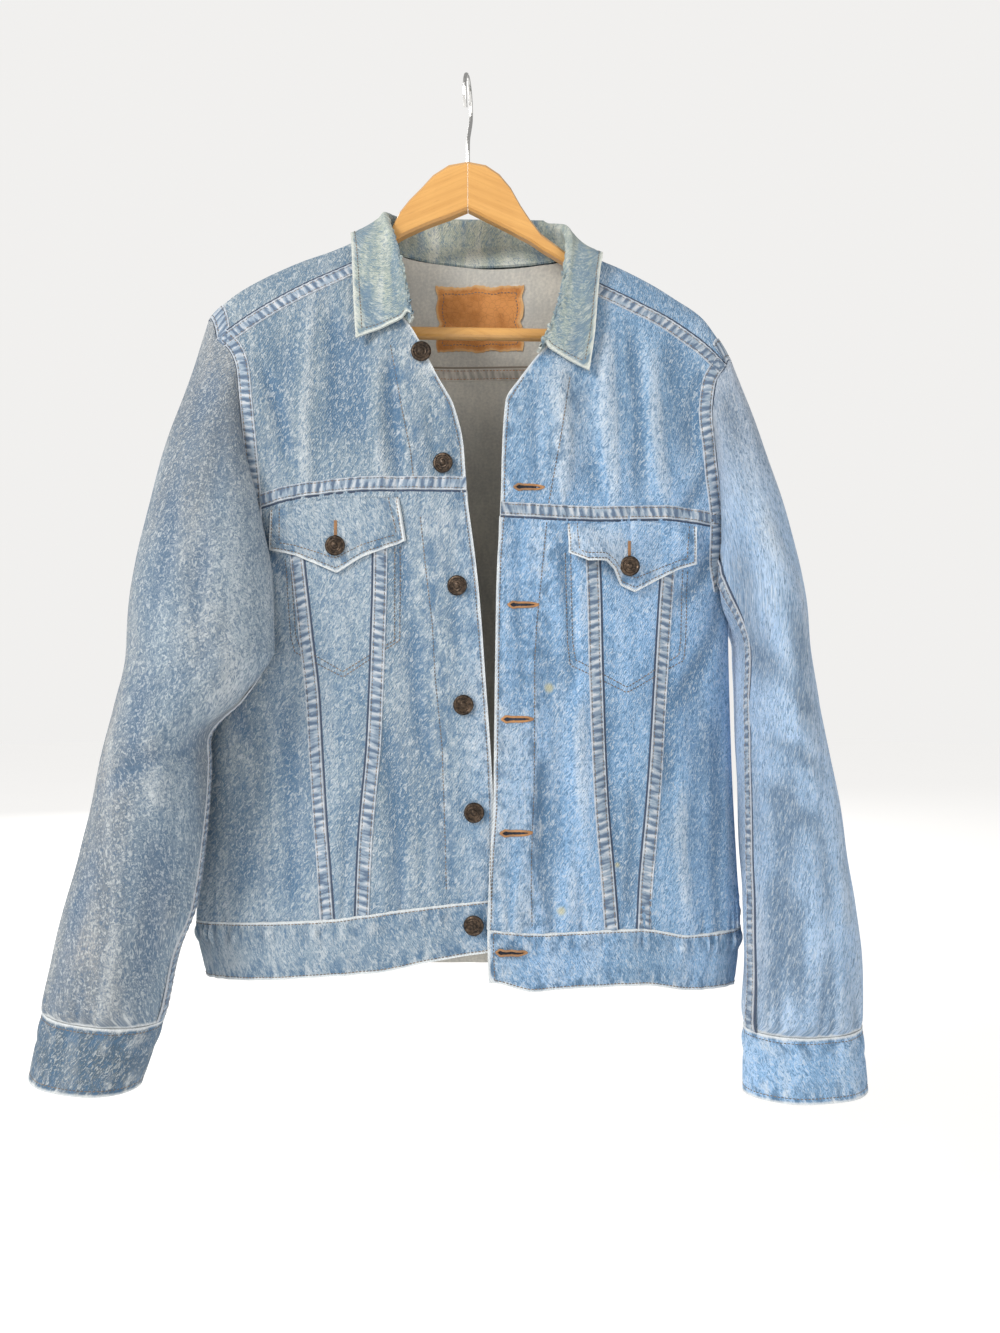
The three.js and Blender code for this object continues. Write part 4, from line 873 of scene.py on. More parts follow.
SLEEVE_FRONT_CREASES = {
    "right": [
        (-212, -262, -244, -430, 10, 2.6, 8), (-206, -300, -214, -450, 8, 1.8, -5),
        (-232, -400, -262, -600, 11, 3.4, 9), (-206, -420, -204, -520, 8, 2.2, 6),
        (-252, -450, -288, -620, 9, -2.2, -6), (-180, -480, -250, -545, 9, 1.6, -8),
        (-176, -520, -240, -572, 8, -1.2, -6), (-196, -560, -262, -600, 8, 2.0, -7),
        (-214, -590, -290, -628, 9, 1.4, 8), (-222, -570, -246, -640, 7, -2.0, 4),
        (-270, -600, -312, -660, 8, 2.0, 5), (-248, -640, -262, -790, 9, 2.4, -7),
        (-290, -650, -318, -800, 10, 2.2, 8), (-232, -650, -236, -720, 7, 1.6, 4),
        (-276, -680, -292, -806, 8, -1.6, -5), (-310, -700, -336, -806, 8, 1.6, 5),
    ],
    "left": [
        (222, -280, 240, -420, 9, 2.4, -6), (238, -300, 262, -470, 9, -2.0, 6),
        (228, -400, 246, -560, 9, 2.6, 5), (252, -430, 276, -600, 10, 2.4, -8),
        (238, -500, 292, -562, 8, 1.5, 7), (236, -540, 296, -596, 8, -1.1, 6),
        (242, -580, 302, -618, 8, 1.5, -6), (246, -620, 286, -650, 7, 1.8, 5),
        (262, -600, 270, -780, 10, 2.4, 6), (288, -640, 298, -815, 9, 2.2, -6),
        (306, -600, 322, -760, 9, -1.8, 5), (276, -700, 280, -824, 8, 1.6, 4),
        (252, -690, 254, -820, 8, 1.8, -4), (316, -720, 328, -826, 7, 1.6, 3),
    ],
}
SLEEVE_BACK_CREASES = {
    "right": [
        (-232, -300, -256, -470, 10, 2.4, -7), (-250, -460, -290, -600, 10, 2.6, 8),
        (-212, -480, -270, -556, 9, 2.8, 6), (-230, -560, -296, -606, 8, 3.0, -6),
        (-262, -600, -286, -780, 10, 2.2, 7), (-300, -640, -326, -800, 9, 2.0, -6),
        (-240, -640, -262, -740, 8, 1.8, 4),
    ],
    "left": [
        (238, -310, 258, -470, 10, 2.4, 6), (262, -450, 284, -600, 10, 2.6, -8),
        (240, -500, 300, -570, 9, 2.8, -6), (246, -570, 304, -612, 8, 2.8, 6),
        (266, -620, 276, -790, 10, 2.2, -6), (300, -640, 312, -810, 9, 2.0, 6),
    ],
}
COLLAR_CREASES = [
    (-74, -215, -78, -330, 10, 1.2, 4), (92, -200, 88, -320, 9, 1.2, -4),
    (-88, -190, -70, -240, 6, 0.8, 3), (104, -210, 86, -262, 6, 0.8, -3),
]


def waver(s, period, seed):
    """Uneven ripple along a seam, from -1 to 1."""
    return (np.sin(FULL_TURN * s / period + 1.7 * np.sin(FULL_TURN * s / (period * 4.3) + seed))
            * (0.65 + 0.35 * np.sin(FULL_TURN * s / (period * 2.6) + 2.1 * seed)))


def swell(x, y, z, seed):
    """Slow unevenness of hanging cloth, in millimetres."""
    return (0.7 * np.sin(x / 31 + z / 57 + seed) * np.sin(z / 43 - x / 71 + 1.3 * seed)
            + 0.35 * np.sin(x / 15 - z / 29 + y / 23 + 2.2 * seed)
            * np.sin(z / 19 + x / 37 + 0.7 * seed))


def pucker(distance, s, period, reach, high, seed):
    """Ripples that die away from a gathered or felled seam."""
    return high * hump(distance, 0, reach) * waver(s, period, seed)


def creased(p, back):
    """Creases and slow unevenness at points of the body."""
    x, y, z = p[..., 0], p[..., 1], p[..., 2]
    creases = np.where(back, troughs(x, z, BACK_CREASES), troughs(x, z, FRONT_CREASES))
    return -CREASE_SCALE * creases + SWELL_SCALE * swell(x, y, z, 0.4)


def body_relief(turn, z, p):
    """How far the body's cloth stands from its plain form."""
    cosine = np.cos(turn)
    x, back = p[..., 0], cosine < 0
    s = turn * RING_RUN
    run_on = np.where(turn < 0, turn + FULL_TURN, turn)
    above_band = np.abs(z - band_top(np.where((turn < 0) & (x < 0), run_on, turn)))
    turned = np.abs(cosine) ** 0.5
    relief = creased(p, back) * turned
    relief = relief + pucker(above_band, s, 12.5, 20, 1.5, 0.7)
    relief = relief + 0.5 * pucker(above_band, s, 27, 52, 2.2, 2.2)
    return relief + np.where(back, 0, placket_relief(x, z) + yoke_seam_pucker(x, z))


def line_offset(x, z, line):
    """How far x lies from a steep line, given as x, z, and whether it is beside it."""
    line = sorted(line, key=lambda point: point[1])
    zs = [point[1] for point in line]
    beside = smoothstep(zs[0] - 6, zs[0], z) * smoothstep(zs[-1] + 6, zs[-1], z)
    return x - np.interp(z, zs, [point[0] for point in line]), beside


def placket_relief(x, z):
    """Step of the placket's turned-in edge, with its rubbed ridge."""
    total = 0
    for side, sign in (("right", 1), ("left", -1)):
        for line in PLACKET_LINES[side]:
            off, beside = line_offset(x, z, line)
            off = off * sign
            step = 0.9 * smoothstep(-2.5, 2.5, off) * smoothstep(60, 40, off)
            total = total + beside * (step + 0.5 * waver(z, 13, 0.6) * hump(off, 0, 7))
    return total


def yoke_seam_pucker(x, z):
    """Short ripples above and below the front yoke seam."""
    right, left = (np.interp(x, *zip(*sorted(YOKE_SEAM_FRONT[side]))) for side in SIDES)
    seam = np.where(x < 20, right, left)
    return pucker(z - seam, x, 11, 15, 0.9, 1.1) + 0.5 * pucker(z - seam, x, 29, 34, 1.5, 0.2)


def yoke_relief(p):
    return creased(p, p[..., 1] > 0) * smoothstep(0, 25, ridge(p[..., 0]) - p[..., 2])


def lift_body(side=None):
    """Lifts flat places of the body on to its form, with its creases."""
    def lift(turn, z):
        lap = lap_at(side, ring_x(turn, z), z) if side else 0.0
        plain = body_point(turn, z, lap)
        return body_point(turn, z, lap + body_relief(turn, z, plain))
    return lift


def lift_yoke(x, root):
    plain = yoke_point(x, root)
    return yoke_point(x, root, yoke_relief(plain))


# Mesh making
FAR_FROM_EDGE = 200.0
LEAST_AREA = 0.31
# Handed from step to step: the sheets, the lines to sew, the felled bands, places for
# the buttons and tacks, and the trims of each region
SHEETS = []
LINES = {}
FELLS = {}
BUTTONS = {}
TACKS = []
TRIMS = {}


def grid_normals(grid, closed=False):
    """Normals of a grid of points, rows down and columns across."""
    down = np.gradient(grid, axis=0)
    if closed:
        across = np.roll(grid, -1, 1) - np.roll(grid, 1, 1)
    else:
        across = np.gradient(grid, axis=1)
    return unit(np.cross(across, down))


def quad_indices(rows, columns, closed=False):
    i, j = np.meshgrid(np.arange(rows - 1), np.arange(columns - (0 if closed else 1)),
                       indexing="ij")
    k = (j + 1) % columns
    quads = np.stack([i * columns + j, (i + 1) * columns + j, (i + 1) * columns + k,
                      i * columns + k], -1).reshape(-1, 4)
    corners = np.stack([i * (columns + 1) + j, (i + 1) * (columns + 1) + j,
                        (i + 1) * (columns + 1) + j + 1, i * (columns + 1) + j + 1], -1)
    return quads, corners.reshape(-1, 4)


def added(name, data):
    """Object of its own for a mesh, lamp or camera."""
    obj = bpy.data.objects.new(name, data)
    bpy.context.collection.objects.link(obj)
    return obj


def face_mesh(name, points, quads, uv=None, uv_index=None, marks=None):
    """Mesh object from points in millimetres, with its cloth UVs and vertex marks."""
    mesh = bpy.data.meshes.new(name)
    mesh.vertices.add(len(points))
    mesh.vertices.foreach_set("co", (real(points) * MM).ravel())
    mesh.loops.add(quads.size)
    mesh.loops.foreach_set("vertex_index", quads.ravel().astype(np.int32))
    mesh.polygons.add(len(quads))
    mesh.polygons.foreach_set("loop_start", np.arange(0, quads.size, quads.shape[1],
                                                      dtype=np.int32))
    mesh.update(calc_edges=True)
    if uv is not None:
        layer = mesh.uv_layers.new(name="weave")
        layer.data.foreach_set("uv", (uv[uv_index.ravel()] * MM).ravel())
    for mark, values in (marks or {}).items():
        attribute = mesh.attributes.new(mark, "FLOAT", "POINT")
        attribute.data.foreach_set("value", real(values).ravel())
    return added(name, mesh)


def only(obj):
    """Makes one object the only one selected, and active."""
    bpy.ops.object.select_all(action="DESELECT")
    obj.select_set(True)
    bpy.context.view_layer.objects.active = obj


def dress(obj, *materials):
    """Gives an object its finishes."""
    obj.data.materials.clear()
    for material in materials:
        obj.data.materials.append(bpy.data.materials[material])


def soften(obj, degrees=40):
    only(obj)
    bpy.ops.object.shade_smooth_by_angle(angle=math.radians(degrees))


def wall(obj, thickness):
    """Gives a sheet its wall, inwards from its outer face."""
    only(obj)
    solid = obj.modifiers.new("wall", "SOLIDIFY")
    solid.thickness = thickness * MM
    solid.offset = -1
    solid.use_even_offset = False
    solid.material_offset = 1
    solid.material_offset_rim = 0
    bpy.ops.object.modifier_apply(modifier="wall")
    soften(obj, 50)


def edge_distance(grid, edges):
    """Distance along the cloth from each point to the nearest of the named edges."""
    down = np.cumsum(np.linalg.norm(np.diff(grid, axis=0), axis=2), 0)
    down = np.concatenate([np.zeros((1, grid.shape[1])), down])
    across = np.cumsum(np.linalg.norm(np.diff(grid, axis=1), axis=2), 1)
    across = np.concatenate([np.zeros((grid.shape[0], 1)), across], 1)
    reach = {"top": down, "foot": down[-1] - down, "from": across,
             "to": across[:, -1:] - across}
    found = [reach[edge] for edge in edges] or [np.full(down.shape, FAR_FROM_EDGE)]
    return np.minimum.reduce(found), down, across


def cloth(name, grid, thickness, materials, node, edges=(), relief=None, flip=False,
          closed=False, held="hung", rests_on=(), uv=None, rub=None,
          mirror=False):
    """Sheet of cloth on a grid of points: rows down, columns across, outer face first."""
    rows, columns = grid.shape[:2]
    distance, down, across = edge_distance(grid, edges)
    if rub is not None:
        distance = np.minimum(distance, rub)
    shape = grid if not closed else np.concatenate([grid, grid[:, :1]], 1)
    _, down_uv, across_uv = edge_distance(shape, ())
    if uv is None:
        middle = across_uv[:, across_uv.shape[1] // 2][:, None]
        uv = np.stack([(across_uv - middle) * (-1 if mirror else 1), -down_uv], -1)
    quads, corners = quad_indices(rows, columns, closed)
    if not closed:
        corners = quads
    if flip:
        quads, corners = quads[:, ::-1], corners[:, ::-1]
    # The relief mark is painted by the denim finish as shade in troughs and highlight on ridges.
    marks = {"edge": distance, "relief": np.zeros((rows, columns)) if relief is None else relief}
    obj = face_mesh(name, grid.reshape(-1, 3), quads, uv.reshape(-1, 2), corners, marks)
    dress(obj, *materials)
    wall(obj, thickness)
    width = float(across_uv[:, -1].max()) * MM
    length = float(down_uv[-1].max()) * MM
    a = shape[1:, 1:] - shape[:-1, :-1]
    b = shape[1:, :-1] - shape[:-1, 1:]
    area = float(np.linalg.norm(np.cross(a, b), axis=2).sum() / 2) * MM * MM
    area = min(max(area, LEAST_AREA * width * length), width * length)
    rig.ride(obj, "root")
    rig.slot(obj, "denim")
    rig.replaces(obj, *([node] if isinstance(node, str) else node))
    SHEETS.append((obj, (width, length), held, rests_on, area))
    return obj


# Materials
COLOUR = "NodeSocketColor"
FLOAT = "NodeSocketFloat"
TWILL_PITCH = 0.0034
TWILL_LEAN = 1.6
FLECK_LEAN = 0.35
FLECK_SCALE = (540.0, 215.0)
ROPE_PITCH = 0.0068
ROPE_LEAN = 0.2
# x, z and radius of the stains
STAINS = [(70, -540, 5.5), (80, -727, 5.5), (128, -690, 3.5)]
PALETTE = {
    "sleeve left": (0.42, 0.61, 0.87), "sleeve deep": (0.085, 0.15, 0.24),
    "sleeve soil": (1.0, 0.84, 0.74), "collar deep": (0.13, 0.22, 0.32),
    "collar worn": (0.68, 0.71, 0.66), "collar soil": (0.97, 0.97, 0.90),
    "soil": (0.84, 0.83, 0.80), "stain": (0.58, 0.52, 0.24),
    "weft pale": (0.66, 0.64, 0.58), "weft dark": (0.44, 0.44, 0.42),
    "seam pale": (0.53, 0.56, 0.60), "seam mid": (0.27, 0.345, 0.43),
    # The gap colours are painted shadow lines beside the felled bands.
    "seam dark": (0.115, 0.165, 0.245), "seam gap": (0.020, 0.040, 0.085),
    "inner pale": (0.64, 0.61, 0.56), "inner mid": (0.52, 0.49, 0.45),
    "inner dark": (0.38, 0.37, 0.34), "inner gap": (0.25, 0.22, 0.18),
    "thread": (0.25, 0.19, 0.14), "thread dark": (0.13, 0.115, 0.105),
    "cord": (0.50, 0.25, 0.105), "cord dark": (0.30, 0.17, 0.09),
    "shadow": (0.030, 0.045, 0.075), "shadow dark": (0.010, 0.014, 0.024),
    "bronze dark": (0.030, 0.024, 0.020), "bronze": (0.125, 0.088, 0.062),
    "leather dark": (0.47, 0.185, 0.046), "leather": (0.64, 0.275, 0.078),
    "leather crack": (0.20, 0.075, 0.025), "leather rim": (0.66, 0.40, 0.18),
    "wood dark": (0.62, 0.32, 0.092), "wood": (0.73, 0.40, 0.125),
    "wood pore": (0.36, 0.16, 0.05),
    "steel dark": (0.50, 0.50, 0.49), "steel": (0.78, 0.78, 0.77),
    "floor dark": (0.50, 0.498, 0.494), "floor": (0.53, 0.528, 0.524),
    "studio": (1.0, 0.99, 0.975),
}


def tone(name):
    return (*PALETTE[name], 1)


def shade(colour, share):
    """Colour made darker or paler by a share."""
    return (*(min(1.0, part * share) for part in colour[:3]), 1)


class Shading:
    """Shader tree whose methods each add a node and give its output."""

    def __init__(self, tree, shader=None):
        self.tree = tree
        self.shader = shader

    def give(self, socket, value):
        if isinstance(value, bpy.types.NodeSocket):
            self.tree.links.new(value, socket)
        else:
            socket.default_value = value

    def node(self, kind, inputs=None, **settings):
        """Adds a node, with its settings and its input values or links."""
        made = self.tree.nodes.new(kind)
        for key, value in settings.items():
            setattr(made, key, value)
        for key, value in (inputs or {}).items():
            self.give(made.inputs[key], value)
        return made

    def maths(self, operation, *values):
        return self.node("ShaderNodeMath", dict(enumerate(values)),
                         operation=operation).outputs[0]

    def times(self, first, second):
        return self.maths("MULTIPLY", first, second)

    def plus(self, first, second):
        return self.maths("ADD", first, second)

    def times_plus(self, value, factor, more):
        return self.maths("MULTIPLY_ADD", value, factor, more)

    def blend(self, factor, first, second, kind="MIX"):
        return self.node("ShaderNodeMix", {0: factor, 6: first, 7: second},
                         data_type="RGBA", blend_type=kind).outputs[2]

    def ranged(self, value, low, high, to_low=0.0, to_high=1.0):
        return self.node("ShaderNodeMapRange",
                         {0: value, 1: low, 2: high, 3: to_low, 4: to_high},
                         interpolation_type="SMOOTHSTEP").outputs[0]

    def noise(self, vector, scale, detail=3.0, rough=0.55, bend=0.0):
        """Noise at one scale, or at a scale for each axis."""
        if isinstance(scale, tuple):
            vector = self.node("ShaderNodeMapping",
                               {"Vector": vector, "Scale": scale}).outputs[0]
            scale = 1.0
        return self.node("ShaderNodeTexNoise", {
            "Vector": vector, "Scale": scale, "Detail": detail, "Roughness": rough,
            "Distortion": bend}).outputs["Fac"]

    def split(self, vector):
        return self.node("ShaderNodeSeparateXYZ", {0: vector}).outputs

    def joined(self, x, y, z=0.0):
        return self.node("ShaderNodeCombineXYZ", {0: x, 1: y, 2: z}).outputs[0]

    def weave(self):
        return self.node("ShaderNodeUVMap", uv_map="weave").outputs[0]

    def place(self):
        return self.node("ShaderNodeTexCoord").outputs["Object"]

    def mark(self, name):
        return self.node("ShaderNodeAttribute", attribute_name=name).outputs["Fac"]

    def colour(self, value):
        self.give(self.shader.inputs["Base Color"], value)

    def roughness(self, value):
        self.give(self.shader.inputs["Roughness"], value)

    def bump(self, height, distance, strength=1.0):
        made = self.node("ShaderNodeBump", {"Height": height, "Distance": distance,
                                            "Strength": strength})
        self.give(self.shader.inputs["Normal"], made.outputs[0])


def group_tree(name, inputs, outputs):
    tree = bpy.data.node_groups.new(name, "ShaderNodeTree")
    for label, kind, value in inputs:
        socket = tree.interface.new_socket(name=label, in_out="INPUT", socket_type=kind)
        socket.default_value = value
    for label, kind in outputs:
        tree.interface.new_socket(name=label, in_out="OUTPUT", socket_type=kind)
    return tree, tree.nodes.new("NodeGroupInput").outputs, tree.nodes.new("NodeGroupOutput")


def washed_twill_group():
    """Colour and height of washed denim, with its twill, clouds of fading and worn edges, with painted shade in the
    troughs and painted highlight on the ridges of its relief.
    """
    tree, given, out = group_tree("washed_twill", [
        ("Right Tint", COLOUR, (0.30, 0.38, 0.44, 1)),
        ("Left Tint", COLOUR, (0.33, 0.47, 0.62, 1)),
        ("Deep Indigo", COLOUR, (0.10, 0.19, 0.32, 1)),
        ("Worn White", COLOUR, (0.72, 0.74, 0.74, 1)),
        ("Twill Slope", FLOAT, 1.0),
        ("Edge Wear", FLOAT, 0.8),
        ("Mottle", FLOAT, 0.4),
        ("Stain", FLOAT, 0.0),
        ("Streak", FLOAT, 0.3),
        ("Soil", COLOUR, tone("soil")),
    ], [("Color", COLOUR), ("Height", FLOAT)])
    t = Shading(tree)
    indigo, white, streak = given["Deep Indigo"], given["Worn White"], given["Streak"]
    weave, place = t.weave(), t.place()
    edge, relief = t.mark("edge"), t.mark("relief")
    across, up, _ = t.split(weave)
    x, _, z = t.split(place)

    # twill lines with the slubs of the warp
    lean = t.times(across, given["Twill Slope"])
    wobble = t.noise(weave, 160.0, 2.0)
    twill = t.maths("SUBTRACT", t.times(lean, TWILL_LEAN), up)
    twill = t.times_plus(wobble, 0.0012, twill)
    lines = t.maths("SINE", t.times(twill, FULL_TURN / TWILL_PITCH))
    slubs = t.noise(weave, (900.0, 130.0, 1.0), 2.0, 0.6)
    picks = t.noise(weave, (160.0, 1100.0, 1.0), 2.0, 0.6)
    grain = t.times_plus(picks, 0.6, slubs)
    thread = t.times_plus(grain, 0.9, t.times(lines, 0.16))

    # short flecks that lean with the twill
    bent = t.times_plus(wobble, 0.004, lean)
    flecks = t.noise(t.joined(
        t.times(t.times_plus(up, -FLECK_LEAN, bent), FLECK_SCALE[0]),
        t.times(t.times_plus(bent, FLECK_LEAN, up), FLECK_SCALE[1])), 1.0, 2.0, 0.6, 1.3)

    # clouds of fading, soil on the shoulders, and hanging streaks that are the painted shade and light of soft hanging
    # pleats together with streaky fading
    clouds = t.noise(place, (38.0, 38.0, 17.0), 4.0, 0.62)
    streaks = t.noise(weave, (150.0, 18.0, 1.0), 3.0, 0.6)
    fade = t.plus(t.times(t.noise(place, 7.0, 3.0, 0.5), 0.9), t.times(clouds, 1.1))
    fade = t.times_plus(streaks, 0.5, fade)
    soiled = t.ranged(t.noise(place, (9.0, 9.0, 2.6), 2.0), 0.46, 0.64, 0.0, 0.9)
    aloft = t.ranged(z, -0.42, -0.30)
    outward = t.ranged(x, -0.25, -0.29)
    soiled = t.maths("MAXIMUM", soiled, t.maths("MAXIMUM", aloft, outward))
    hung = t.noise(place, (74.0, 26.0, 8.0), 2.0, 0.5)

    # mottled band and worn line along the edges
    patches = t.noise(weave, (110.0, 60.0, 1.0), 4.0, 0.65)
    mottle = t.times(t.ranged(edge, 26.0, 2.0), given["Mottle"])
    rub = t.ranged(t.times_plus(patches, -3.5, edge), 1.6, -1.2)

    clean = 1.0
    for at_x, at_z, wide in STAINS:
        dx = t.maths("SUBTRACT", x, at_x * MM)
        dz = t.maths("SUBTRACT", z, at_z * MM)
        away = t.maths("SQRT", t.plus(t.times(dx, dx), t.times(dz, dz)))
        ragged = t.times_plus(clouds, wide * MM, away)
        clean = t.times(clean, t.ranged(ragged, wide * MM * 0.7, wide * MM * 1.5))
    stained = t.maths("SUBTRACT", 1.0, clean)

    # each coat: where it lies, how much of it, its colour and how it is laid
    colour = t.blend(t.ranged(x, -0.02, 0.05), given["Right Tint"], given["Left Tint"])
    for where, share, over, *kind in (
            (t.ranged(fade, 1.55, 0.85), 0.42, indigo),
            (t.ranged(fade, 1.2, 1.9), 0.32, white),
            (soiled, 1.0, given["Soil"], "MULTIPLY"),
            # vertical streaks: painted shade and painted light of soft hanging pleats, with streaky fading
            (t.ranged(hung, 0.51, 0.36), streak, indigo),
            (t.ranged(hung, 0.50, 0.66), streak, white),
            # painted shade: darker in the troughs of creases, folds and puckers
            (t.ranged(relief, -0.1, -3.2), 0.72, indigo),
            # painted highlight on the ridges of the relief, together with rubbed wear
            (t.ranged(relief, 0.3, 2.6), 0.34, white),
            (t.ranged(flecks, 0.50, 0.65), 0.44, white),
            (t.ranged(flecks, 0.50, 0.35), 0.68, indigo),
            (t.ranged(patches, 0.52, 0.38), mottle, indigo),
            (t.ranged(patches, 0.52, 0.72, 0.0, 0.7), mottle, white),
            (rub, given["Edge Wear"], white),
            (t.ranged(thread, 0.95, 1.25), 0.30, white),
            (t.ranged(thread, 0.62, 0.35), 0.34, indigo),
            (stained, given["Stain"], tone("stain"))):
        colour = t.blend(t.times(where, share), colour, over, *kind)
    t.give(out.inputs["Color"], colour)
    height = t.times_plus(flecks, 2.4, t.times_plus(lines, 0.35, grain))
    t.give(out.inputs["Height"], height)
    return tree


def principled(name, roughness=0.9, metallic=0.0, **sockets):
    material = bpy.data.materials.new(name)
    material.use_nodes = True
    shader = material.node_tree.nodes["Principled BSDF"]
    shader.inputs["Roughness"].default_value = roughness
    shader.inputs["Metallic"].default_value = metallic
    for key, value in sockets.items():
        shader.inputs[key.replace("_", " ")].default_value = value
    return Shading(material.node_tree, shader)


def denim_material(name, group, **values):
    t = principled(name, 0.88, Sheen_Weight=0.12, Sheen_Roughness=0.5,
                   Specular_IOR_Level=0.25)
    denim = t.node("ShaderNodeGroup", node_tree=group)
    for key, value in values.items():
        denim.inputs[key.replace("_", " ")].default_value = value
    t.colour(denim.outputs["Color"])
    t.bump(denim.outputs["Height"], 0.0005, 0.8)


def reverse_material(name):
    """Inner side of the cloth: mostly the pale weft."""
    t = principled(name, 0.95, Specular_IOR_Level=0.2)
    weave = t.weave()
    streaks = t.noise(weave, (260.0, 60.0, 1.0), 3.0, 0.6)
    clouds = t.noise(t.place(), 16.0, 3.0)
    picks = t.noise(weave, (420.0, 420.0, 1.0), 3.0)
    mixed = t.times_plus(picks, 0.5, t.plus(t.times(streaks, 0.3), t.times(clouds, 0.6)))
    t.colour(t.blend(t.ranged(mixed, 0.5, 0.95), tone("weft dark"), tone("weft pale")))
    t.bump(picks, 0.0002, 0.5)


def seam_material(name, tones):
    """Felled seam: pale and dark blocks roped along it, a worn edge, and a painted shadow line beside it."""
    t = principled(name, 0.9, Specular_IOR_Level=0.2, Sheen_Weight=0.1)
    weave = t.weave()
    across, along, _ = t.split(weave)
    run = t.times_plus(across, ROPE_LEAN, along)
    ragged = t.noise(t.joined(t.times(across, 90.0), t.times(run, 260.0)), 1.0, 2.0, 0.55)
    beat = t.times_plus(ragged, 5.0, t.times(run, FULL_TURN / ROPE_PITCH))
    blocks = t.times_plus(t.maths("SINE", beat), 0.085, ragged)
    slow = t.noise(weave, (20.0, 14.0, 1.0), 3.0)
    fine = t.noise(weave, (900.0, 900.0, 1.0), 2.0)
    ladder = t.times_plus(fine, 0.18, t.times_plus(slow, 0.35, blocks))
    worn = t.times_plus(ragged, 0.0012, t.maths("ABSOLUTE", across))
    colour = tone(f"{tones} dark")
    for where, share, over in ((t.ranged(ladder, 0.62, 0.80), 1.0, "mid"),
                               (t.ranged(ladder, 0.76, 0.98), 1.0, "pale"),
                               (t.ranged(worn, 0.0048, 0.0058), 0.8, "pale"),
                               # painted shadow line beside the band's edge, over the strip past it
                               (t.ranged(across, 0.0057, 0.0060), 0.92, "gap")):
        colour = t.blend(t.times(where, share), colour, tone(f"{tones} {over}"))
    t.colour(colour)
    t.bump(fine, 0.0002, 0.5)


def thread_material(name, colour):
    t = principled(name, 0.7, Specular_IOR_Level=0.3)
    place = t.place()
    worn = t.ranged(t.noise(place, 60.0, 3.0), 0.38, 0.66)
    t.colour(t.blend(worn, tone(f"{colour} dark"), tone(colour)))
    t.bump(t.noise(place, 2600.0, 1.0), 0.0002, 0.6)


def bronze_material(name):
    t = principled(name, 0.42, 0.85)
    place = t.place()
    spots = t.noise(place, 420.0, 4.0, 0.6)
    rub = t.times_plus(t.noise(place, 90.0, 2.0), 0.5, spots)
    t.colour(t.blend(t.ranged(rub, 0.58, 0.95), tone("bronze dark"), tone("bronze")))
    t.roughness(t.ranged(spots, 0.35, 0.7, 0.55, 0.32))
    t.bump(spots, 0.0002, 0.4)


def leather_material(name):
    t = principled(name, 0.62, Specular_IOR_Level=0.35)
    place = t.place()
    cloudy = t.noise(place, 42.0, 5.0, 0.62)
    cracks = t.node("ShaderNodeTexVoronoi", {"Vector": place, "Scale": 210.0},
                    feature="DISTANCE_TO_EDGE").outputs["Distance"]
    rim = t.ranged(t.times_plus(cloudy, -8.0, t.mark("edge")), 0.0, -4.0)
    colour = t.blend(t.ranged(cloudy, 0.36, 0.62), tone("leather dark"), tone("leather"))
    colour = t.blend(t.ranged(cracks, 0.05, 0.0, 0.0, 0.35), colour, tone("leather crack"))
    t.colour(t.blend(rim, colour, tone("leather rim")))
    t.roughness(t.ranged(cloudy, 0.3, 0.7, 0.70, 0.50))
    t.bump(t.plus(t.noise(place, 900.0, 2.0), t.ranged(cracks, 0.0, 0.08)), 0.0003, 0.5)


def wood_material(name):
    """Clear-varnished beech, with its grain along the arm."""
    t = principled(name, 0.34, Coat_Weight=0.5, Coat_Roughness=0.12)
    place = t.place()
    x, y, z = t.split(place)
    run = t.maths("ABSOLUTE", x)
    along = t.joined(run, y, t.times_plus(run, 0.42, z))
    rings = t.noise(along, (9.0, 260.0, 340.0), 4.0, 0.6)
    pores = t.noise(along, (90.0, 1500.0, 1500.0), 2.0)
    mixed = t.times_plus(t.noise(place, 20.0, 2.0), 0.5, rings)
    colour = t.blend(t.ranged(mixed, 0.45, 1.05), tone("wood dark"), tone("wood"))
    t.colour(t.blend(t.ranged(pores, 0.42, 0.30, 0.0, 0.25), colour, tone("wood pore")))
    t.roughness(t.ranged(pores, 0.3, 0.7, 0.40, 0.28))
    t.bump(pores, 0.0002, 0.25)


def steel_material(name):
    t = principled(name, 0.22, 1.0)
    scratch = t.noise(t.place(), (1200.0, 1200.0, 160.0), 2.0)
    t.colour(t.blend(scratch, tone("steel dark"), tone("steel")))
    t.roughness(t.ranged(scratch, 0.3, 0.7, 0.18, 0.32))


